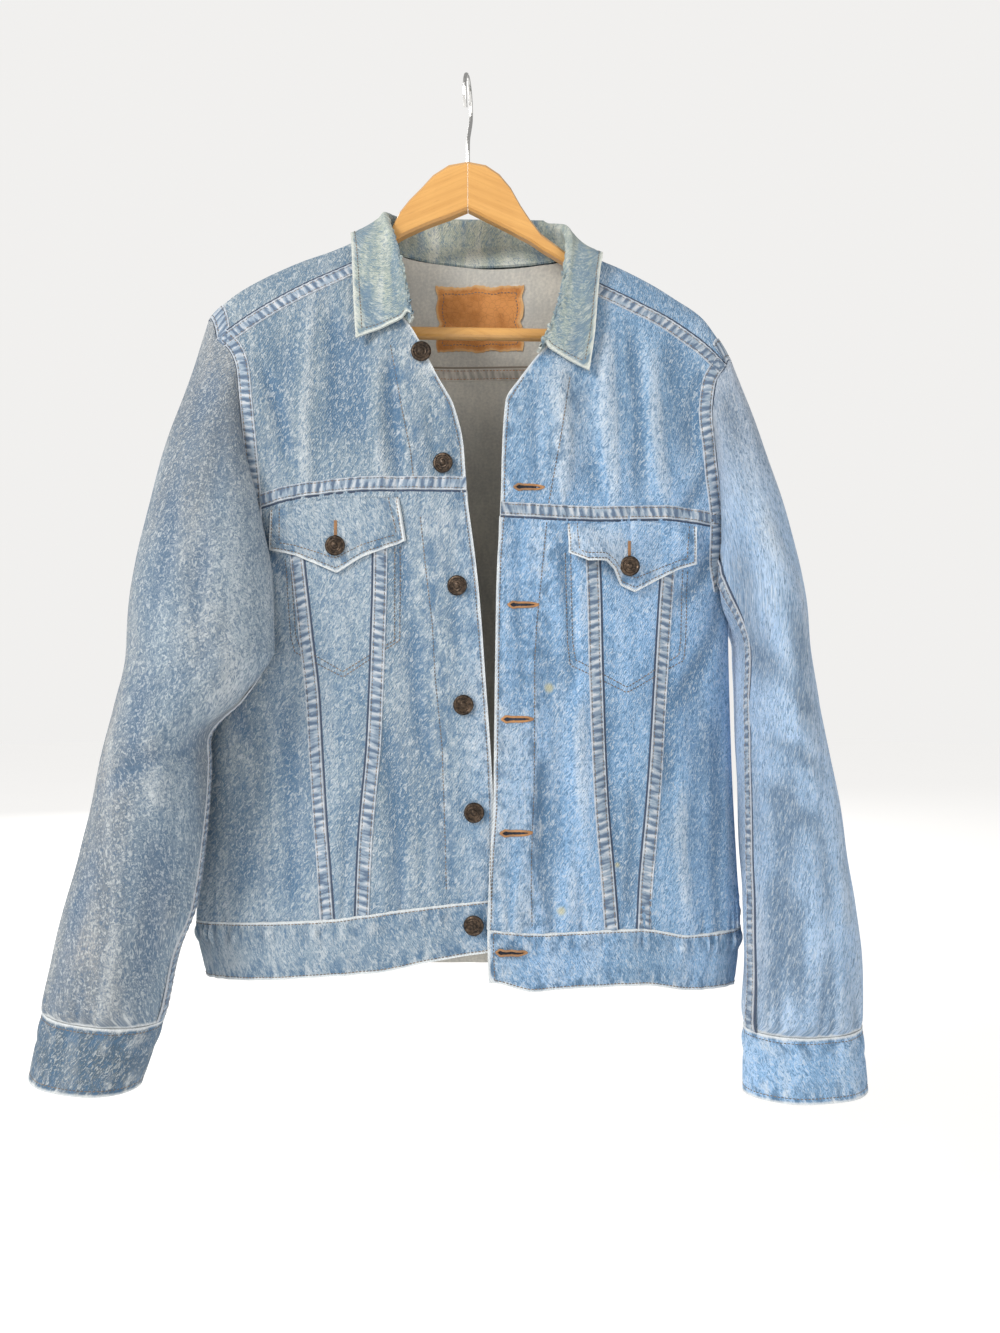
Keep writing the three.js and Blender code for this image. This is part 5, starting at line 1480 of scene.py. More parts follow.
def make_materials():
    tints = bpy.context.scene.jacket_colours
    right, left, collar, deep, worn = ((*getattr(tints, name), 1) for name in (
        "right", "left", "collar", "deep", "worn"))
    group = washed_twill_group()
    # Streak sets the painted pleat shade and light of the hanging streaks, with their streaky fading
    plain = {"Right_Tint": right, "Left_Tint": left, "Deep_Indigo": deep,
             "Worn_White": worn, "Streak": 0.15}
    band = {"Twill_Slope": -1.0, "Mottle": 0.85}
    for name, values in {
            "denim_body": {"Stain": 0.6, "Mottle": 0.7},
            "denim_sleeve": {
                "Right_Tint": shade(right, 0.87), "Left_Tint": tone("sleeve left"),
                "Deep_Indigo": tone("sleeve deep"), "Soil": tone("sleeve soil"),
                "Mottle": 0.4},
            "denim_band": {**band, "Edge_Wear": 0.95},
            "denim_cuff": {**band, "Edge_Wear": 0.9, "Right_Tint": shade(right, 0.44),
                           "Left_Tint": shade(left, 1.16)},
            "denim_collar": {
                "Right_Tint": collar, "Left_Tint": collar,
                "Deep_Indigo": tone("collar deep"), "Worn_White": tone("collar worn"),
                "Soil": tone("collar soil"), "Mottle": 0.75, "Edge_Wear": 0.9,
                "Streak": 0.6}}.items():
        denim_material(name, group, **{**plain, **values})
    reverse_material("denim_reverse")
    seam_material("felled_seam", "seam")
    seam_material("inner_seam", "inner")
    thread_material("thread", "thread")
    thread_material("hole_thread", "cord")
    thread_material("slot_shadow", "shadow")
    bronze_material("bronze")
    leather_material("leather")
    wood_material("wood")
    steel_material("steel")


# Body and sleeves
# Shares of the fold depth painted as shade on the fronts and of the relief painted as shade and highlight on the back,
# and how a placket is rubbed
FOLD_PAINTED_SHADE = 0.42
BACK_PAINTED_RELIEF = 0.45
RUB_LEAST = 2.2
RUB_MIDDLE = 1.5
RUB_AWAY = 60


def spread(rows, columns, top=0, start=0, end=1):
    """Places of a grid down and across."""
    return np.meshgrid(np.linspace(top, 1, rows), np.linspace(start, end, columns),
                       indexing="ij")


def facing(grid, outside, closed=False):
    """Normals of a grid towards its outer side, and whether its faces need turning."""
    normals = grid_normals(grid, closed)
    turned = float((normals * outside).sum(-1).mean()) > 0
    return (normals if turned else -normals), turned


def body_panel(name, flat, lift, plain, tall, wide, thickness, cad, edges=()):
    """Panel of the body from its flat places, with its relief kept for the painted shade in its troughs and painted
    highlight on its ridges.
    """
    pitch = bpy.context.scene.jacket_sizes.pitch / MM
    rows, columns = round(tall / pitch), round(wide / pitch)
    v, u = spread(rows, columns)
    p, q = flat(u, v)
    grid, bare = lift(p, q), plain(p, q)
    out = np.array([0, -1.0 if "front" in name else 1.0, 0])
    relief = ((grid - bare) * out).sum(-1)
    # The fronts' large folds are added to the relief as painted shade; the back's relief is painted as shade and
    # highlight at a smaller share.
    if "front" in name:
        relief = relief - FOLD_PAINTED_SHADE * fold_depth(grid[..., 0], grid[..., 2])
    else:
        relief = relief * BACK_PAINTED_RELIEF
    uv = np.stack([grid[..., 0] + 0.4 * grid[..., 1], grid[..., 2]], -1)
    _, turned = facing(grid[rows // 3:], out)
    rub = None
    for side in SIDES:
        if name.startswith("cloth_front") and name.endswith(side):
            offs = [line_offset(grid[..., 0], grid[..., 2], line)
                    for line in PLACKET_LINES[side]]
            rub = np.minimum.reduce([
                RUB_LEAST + np.abs(off - RUB_MIDDLE) + RUB_AWAY * (1 - beside)
                for off, beside in offs])
    return cloth(name, grid, thickness, ("denim_body", "denim_reverse"), cad, edges, relief,
                 flip=turned, uv=uv, rub=rub)


def make_fronts():
    sizes = {"yoke": (190, 200, SINGLE, ("to",)), "side": (370, 90, SINGLE, ()),
             "taper": (360, 46, SINGLE, ()), "centre": (350, 110, DOUBLE, ("to",))}
    for side in SIDES:
        flats = front_flats(side)

        def plain(turn, z, side=side):
            return body_point(turn, z, lap_at(side, ring_x(turn, z), z))
        for part, (tall, wide, thick, edges) in sizes.items():
            body_panel(f"cloth_front_{part}_{side}", flats[part], lift_body(side), plain,
                       tall, wide, thick, f"front_{part}_{side}", edges)


def make_backs():
    body_panel("cloth_back_yoke", back_yoke_flat(), lift_yoke, yoke_point, 160, 460, SINGLE,
               "back_yoke")
    flats = back_flats()
    body_panel("cloth_back_centre", flats["centre"], lift_body(), body_point, 490, 124,
               SINGLE, "back_centre")
    for side in SIDES:
        body_panel(f"cloth_back_side_{side}", flats[side], lift_body(), body_point, 490, 190,
                   SINGLE, f"back_side_{side}")


def band_lift(turn, z):
    near = smoothstep(LAP_FROM[0], LAP_FULL[0], ring_x(turn, z))
    start = np.where(turn < LEFT_SIDE, near, 0)
    return body_point(turn, z, BAND_STAND + LAP_LIFT * start)


def make_waistband():
    start = front_band_turns("left")[-1]
    end = front_band_turns("right")[-1] + FULL_TURN
    rows, columns = 22, 300
    v, turn = spread(rows, columns, start=start, end=end)
    z = mix(band_top(turn), band_foot(turn), v)
    bare = band_lift(turn, z)
    outside = np.stack([np.sin(turn), -np.cos(turn), 0 * turn], -1)
    out, turned = facing(bare, outside)
    s = turn * RING_RUN
    crease = 0.42 + 0.07 * waver(s, 95, 1.4)
    relief = (2.7 * waver(s, 20, 0.9) * hump(v, 0.22, 0.15)
              - hump(v, crease, 0.06) * (0.6 + 0.4 * waver(s, 52, 0.2))
              + 0.6 * waver(s, 37, 2.4) * (0.3 + v)
              - 0.5 * hump(v, 0.08, 0.035) - 0.5 * hump(v, 0.92, 0.035))
    grid = bare + out * relief[..., None]
    cloth("cloth_waistband", grid, DOUBLE, ("denim_band", "denim_reverse"), "waistband",
          ("top", "foot", "from", "to"), relief, flip=turned, uv=np.stack([s, z], -1))
    LINES["waistband"] = [(grid[k, 1:-1], out[k, 1:-1]) for k in (1, rows - 2)]
    LINES["waistband"] += [(grid[1:-1, k], out[1:-1, k]) for k in (1, columns - 2)]


def sleeve_grid(side, pitch):
    """Fine rings of a sleeve with their shares, and how far down the sleeve each is."""
    rings, shares, top_share = sleeve_rings(side)
    count = len(shares)
    fine = np.arange(count * SLEEVE_FINER) / SLEEVE_FINER
    wrap = SLEEVE_WRAP
    wrapped = np.concatenate([rings[:, -wrap:], rings, rings[:, :wrap + 1]], 1)
    stations = np.arange(-wrap, count + wrap + 1)
    around = np.stack([smooth(stations, ring)(fine) for ring in wrapped])
    spans = np.linalg.norm(np.diff(around, axis=0), axis=2).mean(1)
    lengths = np.concatenate([[0], np.cumsum(spans)])
    places = np.linspace(0, lengths[-1], round(lengths[-1] / pitch))
    grid = smooth(lengths, around.reshape(len(lengths), -1))(places)
    full = np.interp(fine, np.arange(count + 1), np.append(shares, 1.0))
    return grid.reshape(len(places), len(fine), 3), full, top_share, places, shares


def sleeve_relief(side, grid, shares, top_share, places):
    x, y, z = grid[..., 0], grid[..., 1], grid[..., 2]
    around = np.broadcast_to(shares[None, :], x.shape)
    front = around <= top_share
    inside = np.where(front, around / top_share, (around - top_share) / (1 - top_share))
    creases = np.where(front, troughs(x, z, SLEEVE_FRONT_CREASES[side]),
                       troughs(x, z, SLEEVE_BACK_CREASES[side]))
    relief = -creases * np.sin(inside * math.pi) ** 0.5 + 1.1 * swell(x, y, z, 1.1)
    s, head, foot = around * SLEEVE_RUN, places[:, None], places[-1] - places[:, None]
    relief = (relief + pucker(foot, s, 15, 26, 1.5, 1.3)
              + pucker(foot, s, 37, 55, 1.2, 0.4)) * smoothstep(0, 24, head)
    relief = relief + pucker(head - 8, s, 9, 9, 0.45, 0.3) * smoothstep(0, 5, head)
    return relief * smoothstep(-2, 7, foot)


def make_sleeves():
    pitch = bpy.context.scene.jacket_sizes.pitch / MM
    for side in SIDES:
        grid, shares, top_share, places, stations = sleeve_grid(side, pitch)
        out, turned = facing(grid, grid - grid.mean(1, keepdims=True), closed=True)
        relief = sleeve_relief(side, grid, shares, top_share, places)
        grid = grid + out * relief[..., None]
        count = grid.shape[1]
        first, last = (int(np.argmax(stations > share)) * SLEEVE_FINER
                       for share in (TOP_SLEEVE_FROM, TOP_SLEEVE_TO))
        for part, low, high in (("top", first, last), ("under", last, first + count)):
            columns = np.arange(low, high + 1) % count
            solids = [f"{part}_sleeve_{side}"]
            if part == "under" and side == "left":
                solids.append("under_sleeve_left_lower")
            cloth(f"cloth_{part}_sleeve_{side}", grid[:, columns], SINGLE,
                  ("denim_sleeve", "denim_reverse"), solids, ("foot",),
                  relief[:, columns], flip=turned, mirror=side == "right")
        for k in (first, last):
            FELLS.setdefault(f"sleeve_{side}", []).append(
                along_fell(grid[:, k], out[:, k], skip=1))
        make_cuff(side, stations, top_share)


def make_cuff(side, stations, top_share):
    rows, count = 24, 220
    shares = np.arange(count) / count
    head, foot = np.array(SLEEVE_TABLE[side][-1], float), np.array(CUFF_FOOT[side], float)
    steps = np.linspace(0, 1, rows)
    rings = []
    for w in steps:
        row = mix(head, foot, w)
        row[3:5] += CUFF_STAND
        row[0] -= CUFF_DROP * (1 - w)
        rings.append(section_point(side, row, shares, top_share, CUFF_TILT[side]))
    grid = np.array(rings)
    out, turned = facing(grid, grid - grid.mean(1, keepdims=True), closed=True)
    s, w = shares[None, :] * CUFF_RUN, steps[:, None]
    relief = (1.5 * waver(s, 19, 0.5) * hump(w, 0.24, 0.15)
              - 0.9 * hump(w, 0.44, 0.06) * (0.6 + 0.4 * waver(s, 47, 1.2))
              + 0.8 * waver(s, 41, 1.9)
              - 0.5 * hump(w, 0.09, 0.035) - 0.5 * hump(w, 0.91, 0.035))
    grid = grid + out * relief[..., None]
    cloth(f"cloth_cuff_{side}", grid, DOUBLE, ("denim_cuff", "denim_reverse"),
          f"cuff_{side}", ("top", "foot"), relief, flip=turned, closed=True)
    LINES[f"cuff_{side}"] = [(grid[k], out[k]) for k in (2, rows - 3)]
    share = stations[int(np.argmax(stations > top_share + CUFF_BUTTON_SHARE))]
    k = round(share * count)
    BUTTONS[f"cuff_button_{side}"] = (grid[rows // 2, k], out[rows // 2, k])
    LINES[f"cuff_{side}"].append((grid[2:-2, k + 12], out[2:-2, k + 12]))


def collar_grid(rows, columns):
    """Collar from its neck seam over the roll to its free edge."""
    stations = []
    for seam, face, roll, edge, off in COLLAR_TABLE:
        back = face < 0
        roll = np.array(roll, float)
        foot = yoke_point(seam[0], yoke_root(seam[0], seam[1], back))
        inner = roll - [0, 0, ROLL_RADIUS]
        foot = foot + unit(inner - foot) * COLLAR_STAND_GAP
        root = yoke_root(edge[0], edge[1], back)
        normal = lifted_normals(yoke_point, edge[0], root)
        if normal[1] * (1 if back else -1) < 0:
            normal = -normal
        free = yoke_point(edge[0], root) + normal * off
        outward = unit((free - roll) * [1, 1, 0])
        crown, outer = roll + outward * ROLL_RADIUS, inner + outward * 2 * ROLL_RADIUS
        stations.append(np.concatenate([foot, inner, crown, outer, free]))
    along = smooth(np.linspace(0, 1, len(stations)), stations)(np.linspace(0, 1, columns))
    cuts = np.linspace(0, 4, rows)
    grid = np.stack([smooth(range(5), row.reshape(5, 3))(cuts) for row in along], 1)
    out, turned = facing(grid[rows // 2:rows // 2 + 2], np.array([0, 0, 1.0]))
    out = grid_normals(grid) * (1 if turned else -1)
    return grid + out * (COLLAR_CLOTH * np.clip(1 - cuts, 0, 1))[:, None, None], out, cuts, turned


def make_collar():
    rows, columns = 60, 190
    grid, out, cuts, turned = collar_grid(rows, columns)
    x, y, z = grid[..., 0], grid[..., 1], grid[..., 2]
    leaf = smoothstep(2.2, 3.2, cuts)[:, None]
    along = np.arange(columns)[None, :] * COLLAR_STEP
    end = np.minimum(along, along[:, -1:] - along)
    rim = np.minimum((4 - cuts)[:, None] * COLLAR_LEAF, end)
    relief = (-troughs(x, z, COLLAR_CREASES) + 0.5 * swell(x, y, z, 2.0)
              - 0.45 * hump(rim, 6, 1.6)) * leaf
    relief = relief + waver(along, 15, 0.8) * hump(cuts[:, None], 0.9, 0.6)
    grid = grid + out * relief[..., None]
    # The collar's relief is painted 1.9 times as strongly as shade and highlight.
    cloth("cloth_collar", grid, COLLAR_CLOTH, ("denim_collar", "denim_collar"), "collar",
          ("foot", "from", "to"), relief * 1.9, flip=turned)
    top, line = int(rows * 0.62), int(rows * 0.95)
    LINES["collar"] = [(grid[line, 2:-2], out[line, 2:-2])]
    LINES["collar"] += [(grid[top:line, k], out[top:line, k]) for k in (2, columns - 3)]


def surface(x, z, out=0.0, back=False):
    """Outer point and normal of the body at x, z, with its creases."""
    x, z = np.broadcast_arrays(real(x), real(z))
    side = -1.0 if not back else 1.0

    def at(px, pz):
        turn = turn_at(px, pz, back)
        lap = 0.0 if back else lap_at("left", px, pz) * (px > 20)
        plain = body_point(turn, pz, lap)
        return body_point(turn, pz, lap + body_relief(turn, pz, plain))
    normal = unit(np.cross(at(x + 1, z) - at(x - 1, z), at(x, z + 1) - at(x, z - 1)))
    normal = np.where(normal[..., 1:2] * side < 0, -normal, normal)
    return at(x, z) + normal * np.broadcast_to(out, x.shape)[..., None], normal


def make_flaps():
    rows, columns = 34, 72
    for side in SIDES:
        top, foot = FLAP_TOP[side], FLAP_FOOT[side]

        def edge(k, top=top, foot=foot):
            return cornered([top[k], foot[k]])
        inside = inside_edges(curve_through(top), cornered(foot), edge(0), edge(-1))
        v, u = spread(rows, columns, top=FLAP_TUCK)
        place = inside(u, v)
        x, z = place[..., 0], place[..., 1]
        cx, cz, wide, high = FLAP_CURL[side]
        rim = np.minimum.reduce([(1 - v) * FLAP_TALL, u * FLAP_WIDE, (1 - u) * FLAP_WIDE])
        curl = high * hump(x, cx, wide) * hump(z, cz, wide)
        relief = (curl + 0.5 * swell(x, x * 0, z, 3.1) - 0.4 * hump(rim, 5.5, 1.4)
                  - troughs(x, z, FLAP_CREASES[side]))
        stand = mix(1.5, FLAP_OUT, smoothstep(FLAP_TUCK, 0.08, v))
        grid, out = surface(x, z, stand + relief * smoothstep(FLAP_TUCK, 0.15, v))
        _, turned = facing(grid, out)
        cloth(f"cloth_pocket_flap_{side}", grid, DOUBLE, ("denim_band", "denim_reverse"),
              f"pocket_flap_{side}", ("foot", "from", "to"), relief, flip=turned)
        lines = LINES[f"pocket_flap_{side}"] = []
        for inset in FLAP_STITCH_INSETS:
            k = rows - 1 - round(inset / FLAP_TALL * rows)
            e = round(inset / FLAP_WIDE * columns)
            lines += [(grid[k, e:columns - e], out[k, e:columns - e])]
            lines += [(grid[2:k, c], out[2:k, c]) for c in (e, columns - 1 - e)]
        bx, bz = FLAP_BUTTON[side]
        nearest = np.unravel_index(int(np.argmin((x - bx) ** 2 + (z - bz) ** 2)), x.shape)
        BUTTONS[f"flap_button_{side}"] = (grid[nearest], out[nearest])
        TACKS.append((grid[nearest] + [0, 0, TACK_ABOVE_BUTTON], out[nearest]))


# Felled seams and thread
def fell_profile(w):
    """Height of a felled band across its width, sunk at its edges and under its stitches, with the strip beside it
    that carries a painted shadow line.
    """
    side = np.abs(w)
    band = 0.85 - 0.35 * hump(side, 3.8, 0.5)
    beside = np.where(w > 7.6, -0.4, np.where(w > 6, 0.18, -0.1))
    return np.where(w < -5.5, -0.5, np.where(w > 5.5, beside, band))


# Places across a felled band; those past 5.7 mm on the one side are coloured as a painted shadow line.
FELL_W = np.array([-5.75, -5.35, -4.7, -4.2, -3.8, -3.4, -2.4, 0, 2.4, 3.4, 3.8, 4.2, 4.7,
                   5.45, 5.75, 6.1, 7.3, 8.0])
FELL_LINES = (4, 10)
FELL_MIDDLE = 7
FELL_STEP = 2.0


def roping(s, w):
    return 0.3 * np.sin(FULL_TURN * (s + ROPE_LEAN * w) / ROPE_TWIST + 1.5 * np.sin(s / 31)) * (
        np.abs(w) < 5.5)


def body_fell(points, shift=0.0, back=False):
    """Felled band on the body, beside a seam given as x, z."""
    path = curve_through(points)
    length = float(run_lengths(path(np.linspace(0, 1, 400)))[-1])
    place = path(np.linspace(0, 1, round(length / FELL_STEP)))
    along = unit(np.gradient(place, axis=0))
    side = np.stack([-along[:, 1], along[:, 0]], -1)
    s = np.linspace(0, length, len(place))[:, None]
    w = FELL_W[None, :]
    over = w * (-1 if shift > 0 else 1) + shift
    x = place[:, None, 0] + side[:, None, 0] * over
    z = place[:, None, 1] + side[:, None, 1] * over
    grid, out = surface(x, z, fell_profile(w) + roping(s, w), back)
    return grid, out, np.stack(np.broadcast_arrays(w, s), -1)


def yoke_fell(xs, roots, shift):
    """Felled band on the back yoke, from x and root places."""
    path = curve_through(np.stack([xs, np.asarray(roots) * ROOT_SCALE], -1))
    place = path(np.linspace(0, 1, 80))
    w = FELL_W[None, :]
    x = place[:, None, 0] + w * (-1 if shift > 0 else 1) + shift
    root = place[:, None, 1] / ROOT_SCALE + 0 * w
    bare = lift_yoke(x, root)
    s = run_lengths(bare[:, FELL_MIDDLE])
    out, _ = facing(bare, np.array([0, 0.3, 1.0]))
    height = fell_profile(w) + roping(s[:, None], w)
    return (bare + out * height[..., None], out,
            np.stack(np.broadcast_arrays(w, s[:, None]), -1))


def inner_fell():
    """Felled band of the back yoke seam as seen inside the jacket."""
    x, w = np.meshgrid(np.linspace(-200, 204, 200), FELL_W, indexing="ij")
    plain, out = surface(x, YOKE_SEAM_BACK_Z + INNER_FELL_UP + w, 0.0, True)
    height = INNER_FELL_OUT + fell_profile(w) + roping(x, w)
    return plain - out * height[..., None], -out, np.stack([w, x], -1)


def along_fell(points, normals, skip=0):
    """Felled band on a curved sleeve, along a line of its points."""
    points, normals = points[skip:], normals[skip:]
    lengths = run_lengths(points)
    fine = np.linspace(0, lengths[-1], round(lengths[-1] / FELL_STEP))
    p, n = smooth(lengths, points)(fine), unit(smooth(lengths, normals)(fine))
    along = unit(np.gradient(p, axis=0))
    side = unit(np.cross(n, along))
    w, s = FELL_W[None, :], fine[:, None]
    height = fell_profile(w) + roping(s, w) - w * w / 90
    grid = p[:, None] + side[:, None] * w[..., None] + n[:, None] * height[..., None]
    out = np.broadcast_to(n[:, None], grid.shape)
    return grid, out, np.stack(np.broadcast_arrays(w, s), -1)


def joined_grids(name, parts, material, slot="denim"):
    """One mesh from several grids of points, each facing its own outer side."""
    points, quads, uvs, count = [], [], [], 0
    for grid, out, uv in parts:
        faces, _ = quad_indices(*grid.shape[:2])
        _, turned = facing(grid, out)
        quads.append((faces[:, ::-1] if turned else faces) + count)
        points.append(grid.reshape(-1, 3))
        uvs.append(uv.reshape(-1, 2))
        count += len(points[-1])
    quads = np.concatenate(quads)
    obj = face_mesh(name, np.concatenate(points), quads, np.concatenate(uvs), quads)
    dress(obj, material)
    soften(obj, 60)
    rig.ride(obj, "root")
    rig.slot(obj, slot)
    return obj


def fell_lines(parts):
    return [(grid[1:-1, k], out[1:-1, k]) for grid, out, _ in parts for k in FELL_LINES]


def armhole_points(side, back):
    if back:
        return [(ARMHOLE_BACK_X[side], YOKE_SEAM_BACK_Z)] + armhole_behind(side)
    return ARMHOLE_FRONT[side] + ARMHOLE_UNDER_FRONT[side][1:-1]


def under_flap(seam):
    """Seam of a taper from where the pocket flap hides its top."""
    return [(seam[0][0], seam[0][1] - UNDER_FLAP), *seam[1:]]


def make_fells():
    for side in SIDES:
        shift = -OUTWARD[side] * FELL_SHIFT
        FELLS[f"front_{side}"] = [
            body_fell(SHOULDER_SEAM[side], -shift),
            body_fell(YOKE_SEAM_FRONT[side], shift),
            body_fell(under_flap(INNER_SEAM[side]), shift),
            body_fell(under_flap(OUTER_SEAM[side]), -shift),
            body_fell(armhole_points(side, False), -OUTWARD[side] * ARMHOLE_FELL_SHIFT),
        ]
    backs = [body_fell([(ARMHOLE_BACK_X["right"], YOKE_SEAM_BACK_Z),
                        (0, YOKE_SEAM_BACK_Z), (ARMHOLE_BACK_X["left"], YOKE_SEAM_BACK_Z)],
                       BACK_FELL_SHIFT, True)]
    for side in SIDES:
        sign = OUTWARD[side]
        backs.append(body_fell([(sign * BACK_SEAM_TOP_X, YOKE_SEAM_BACK_Z - 1),
                                (sign * BACK_SEAM_FOOT_X, BAND_BACK_Z + 1)],
                               FELL_SHIFT * sign, True))
        backs.append(body_fell(armhole_points(side, True)[:-1], ARMHOLE_FELL_SHIFT * sign,
                               True))
        start = float(yoke_root(SHOULDER_SEAM[side][0][0], SHOULDER_SEAM[side][0][1], False))
        end = float(yoke_root(ARMHOLE_BACK_X[side], YOKE_SEAM_BACK_Z, True))
        backs.append(yoke_fell([SHOULDER_SEAM[side][0][0], YOKE_ARM_TOP_X[side],
                                ARMHOLE_BACK_X[side]], [start, 0, end],
                               -ARMHOLE_FELL_SHIFT * sign))
    FELLS["back"] = backs
    FELLS["inside"] = [inner_fell()]
    for region, parts in FELLS.items():
        finish = "inner_seam" if region == "inside" else "felled_seam"
        TRIMS[region] = [joined_grids(f"felled_seams_{region}", parts, finish)]
        LINES.setdefault(region, []).extend(fell_lines(parts))


STITCH = np.array([(-1.35, 0, -0.2), (-0.8, -0.4, 0.05), (-0.8, 0, 0.42), (-0.8, 0.4, 0.05),
                   (0.8, -0.4, 0.05), (0.8, 0, 0.42), (0.8, 0.4, 0.05), (1.35, 0, -0.2)])
STITCH_FACES = np.array([(0, 2, 1), (0, 3, 2), (1, 2, 5), (1, 5, 4), (2, 3, 6), (2, 6, 5),
                         (4, 5, 7), (5, 6, 7)])


def make_stitches(name, lines, pitch, material="thread"):
    """Row of short raised stitches along each line of points."""
    centres, alongs, outs = [], [], []
    for points, normals in lines:
        lengths = run_lengths(points)
        at = np.arange(pitch / 2, lengths[-1], pitch)
        curve, turning = smooth(lengths, points), smooth(lengths, normals)
        centres.append(curve(at))
        alongs.append(unit(curve(at + 0.8) - curve(at - 0.8)))
        outs.append(unit(turning(at)))
    centre, along, out = (np.concatenate(rows) for rows in (centres, alongs, outs))
    across = unit(np.cross(out, along))
    out = np.cross(along, across)
    frames = np.stack([along, across, out], 1)
    points = centre[:, None] + np.einsum("vk,nkc->nvc", STITCH, frames)
    faces = STITCH_FACES[None] + (np.arange(len(centre)) * len(STITCH))[:, None, None]
    obj = face_mesh(name, points.reshape(-1, 3), faces.reshape(-1, 3))
    dress(obj, material)
    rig.ride(obj, "root")
    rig.slot(obj, "denim")
    return obj


def body_line(points, back=False):
    """Sewing line on the body through places given as x, z."""
    path = cornered(points)
    length = float(run_lengths(real(points))[-1])
    place = path(np.linspace(0, 1, max(round(length / 3), 3)))
    return surface(place[:, 0], place[:, 1], 0.15, back)


def shifted(points, dx):
    return [(x + dx, z) for x, z in points]


def make_threads():
    pitch = bpy.context.scene.jacket_sizes.stitch / MM
    for side in SIDES:
        inset = OUTWARD[side] * EDGE_STITCH_INSET
        outline = POCKET_OUTLINE[side]
        middle = sum(x for x, _ in outline) / len(outline)
        inner = []
        for x, z in outline:
            inward = 0 if abs(x - middle) <= 20 else math.copysign(POCKET_LINES_APART,
                                                                   middle - x)
            inner.append((x + inward, z + (POCKET_LINES_APART if z < -505 else 0)))
        LINES[f"front_{side}"] += [body_line(line) for line in (
            *PLACKET_LINES[side], shifted(FRONT_EDGE[side], inset),
            shifted(NECK_AND_FRONT_EDGE[side][-4:], inset), outline, inner)]
    for region, lines in LINES.items():
        colour = "hole_thread" if region == "inside" else "thread"
        TRIMS.setdefault(region, []).append(
            make_stitches(f"stitches_{region}", lines, pitch, colour))


def keyhole(x, z, length):
    """Outline of a buttonhole: a slot with a round end."""
    t = np.linspace(0, FULL_TURN, HOLE_POINTS, endpoint=False)
    across = np.cos(t) * length / 2
    up = np.sin(t) * HOLE_HALF * (1 - 0.5 * np.abs(np.cos(t)) ** 6)
    return x + across, z + up * (1 + hump(across, -length * 0.38, 3.0))


def make_buttonhole(name, x, z, length, raised):
    """Corded edge of a buttonhole."""
    hole_x, hole_z = keyhole(x, z, length)
    centre, out = surface(hole_x, hole_z, raised)
    along = unit(np.roll(centre, -1, 0) - np.roll(centre, 1, 0))
    side = unit(np.cross(out, along))
    ring = np.linspace(0, FULL_TURN, 8, endpoint=False)
    uneven = 1 + 0.12 * np.sin(np.arange(len(hole_x)) * 2.4)[:, None, None]
    tube = centre[:, None] + uneven * (
        side[:, None] * (CORD_HALF * np.cos(ring))[None, :, None]
        + out[:, None] * (CORD_HIGH * np.sin(ring))[None, :, None])
    rows, count = tube.shape[:2]
    closed = np.concatenate([tube, tube[:1]])
    faces, _ = quad_indices(rows + 1, count, closed=True)
    faces = faces % (rows * count)
    _, turned = facing(closed, closed - np.concatenate([centre, centre[:1]])[:, None],
                       closed=True)
    hole = face_mesh(name, tube.reshape(-1, 3), faces[:, ::-1] if turned else faces)
    dress(hole, "hole_thread")
    soften(hole, 60)
    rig.ride(hole, "root")
    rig.slot(hole, "denim")
    return hole


def make_slot(name, x, z, length, raised):
    """Dark patch inside a buttonhole, a painted shadow of its slot."""
    hole_x, hole_z = (part[None, :HOLE_POINTS // 2 + 1] for part in keyhole(x, z, length))
    slot_z = z + np.abs(hole_z - z) * np.linspace(-1, 1, 5)[:, None]
    grid, out = surface(hole_x + 0 * slot_z, slot_z, raised)
    return joined_grids(name, [(grid, out, grid[..., ::2])], "slot_shadow")


def make_buttonholes():
    """Buttonholes with the painted shadows of their slots, and the flaps' tacks."""
    for number, (x, z, length) in enumerate(BUTTONHOLES, 1):
        on_band = number == len(BUTTONHOLES)
        raised = 1.2 + BAND_STAND if on_band else 0.4
        key = "waistband" if on_band else "front_left"
        TRIMS.setdefault(key, []).extend([
            make_buttonhole(f"buttonhole_{number}", x, z, length, raised),
            make_slot(f"buttonhole_slot_shadow_{number}", x, z, length, raised - 0.25)])
    for number, (centre, out) in enumerate(TACKS, 1):
        down = np.linspace(-6, 6, 13)[:, None] * np.array([[0, 0, 1.0]])
        lines = [(centre + down + [dx, 0, 0] + out * lift, np.repeat(out[None], 13, 0))
                 for dx, lift in ((-0.9, 0.2), (-0.3, 0.45), (0.3, 0.45), (0.9, 0.2))]
        tack = make_stitches(f"flap_tack_{number}", lines, 1.5, "hole_thread")
        TRIMS.setdefault(f"pocket_flap_{SIDES[number - 1]}", []).append(tack)


# Buttons, tacks, buttonholes, plackets, pockets and the patch
CUFF_BUTTON_SHARE = 0.08
FLAP_BUTTON = {"right": (-110, -420), "left": (136, -437)}
FRONT_BUTTONS = {
    "front_button_neck": (-38, -256), "front_button_yoke": (-19, -351),
    "front_button_chest": (-7, -454), "front_button_middle": (-2, -554),
    "front_button_waist": (7, -644), "band_button": (7, -738),
}
BUTTON_STEPS = [(1.2, 1.0), (0.7, 0.15), (0.8, -0.95), (0.7, 0), (0.3, 0.4), (0.5, 0),
                (0.3, -0.4), (1.2, -0.05), (0.6, 0.95), (0.9, 0.2)]
BUTTON_RADIUS = 8.5
BUTTON_GAP = 0.6
BUTTON_EDGE = 0.16
TACK_ABOVE_BUTTON = 15
FLAP_STITCH_INSETS = (2.2, 7.5)
EDGE_STITCH_INSET = 2.8
POCKET_LINES_APART = 4.5
HOLE_POINTS = 56
HOLE_HALF = 1.9
CORD_HALF = 0.95
CORD_HIGH = 0.7
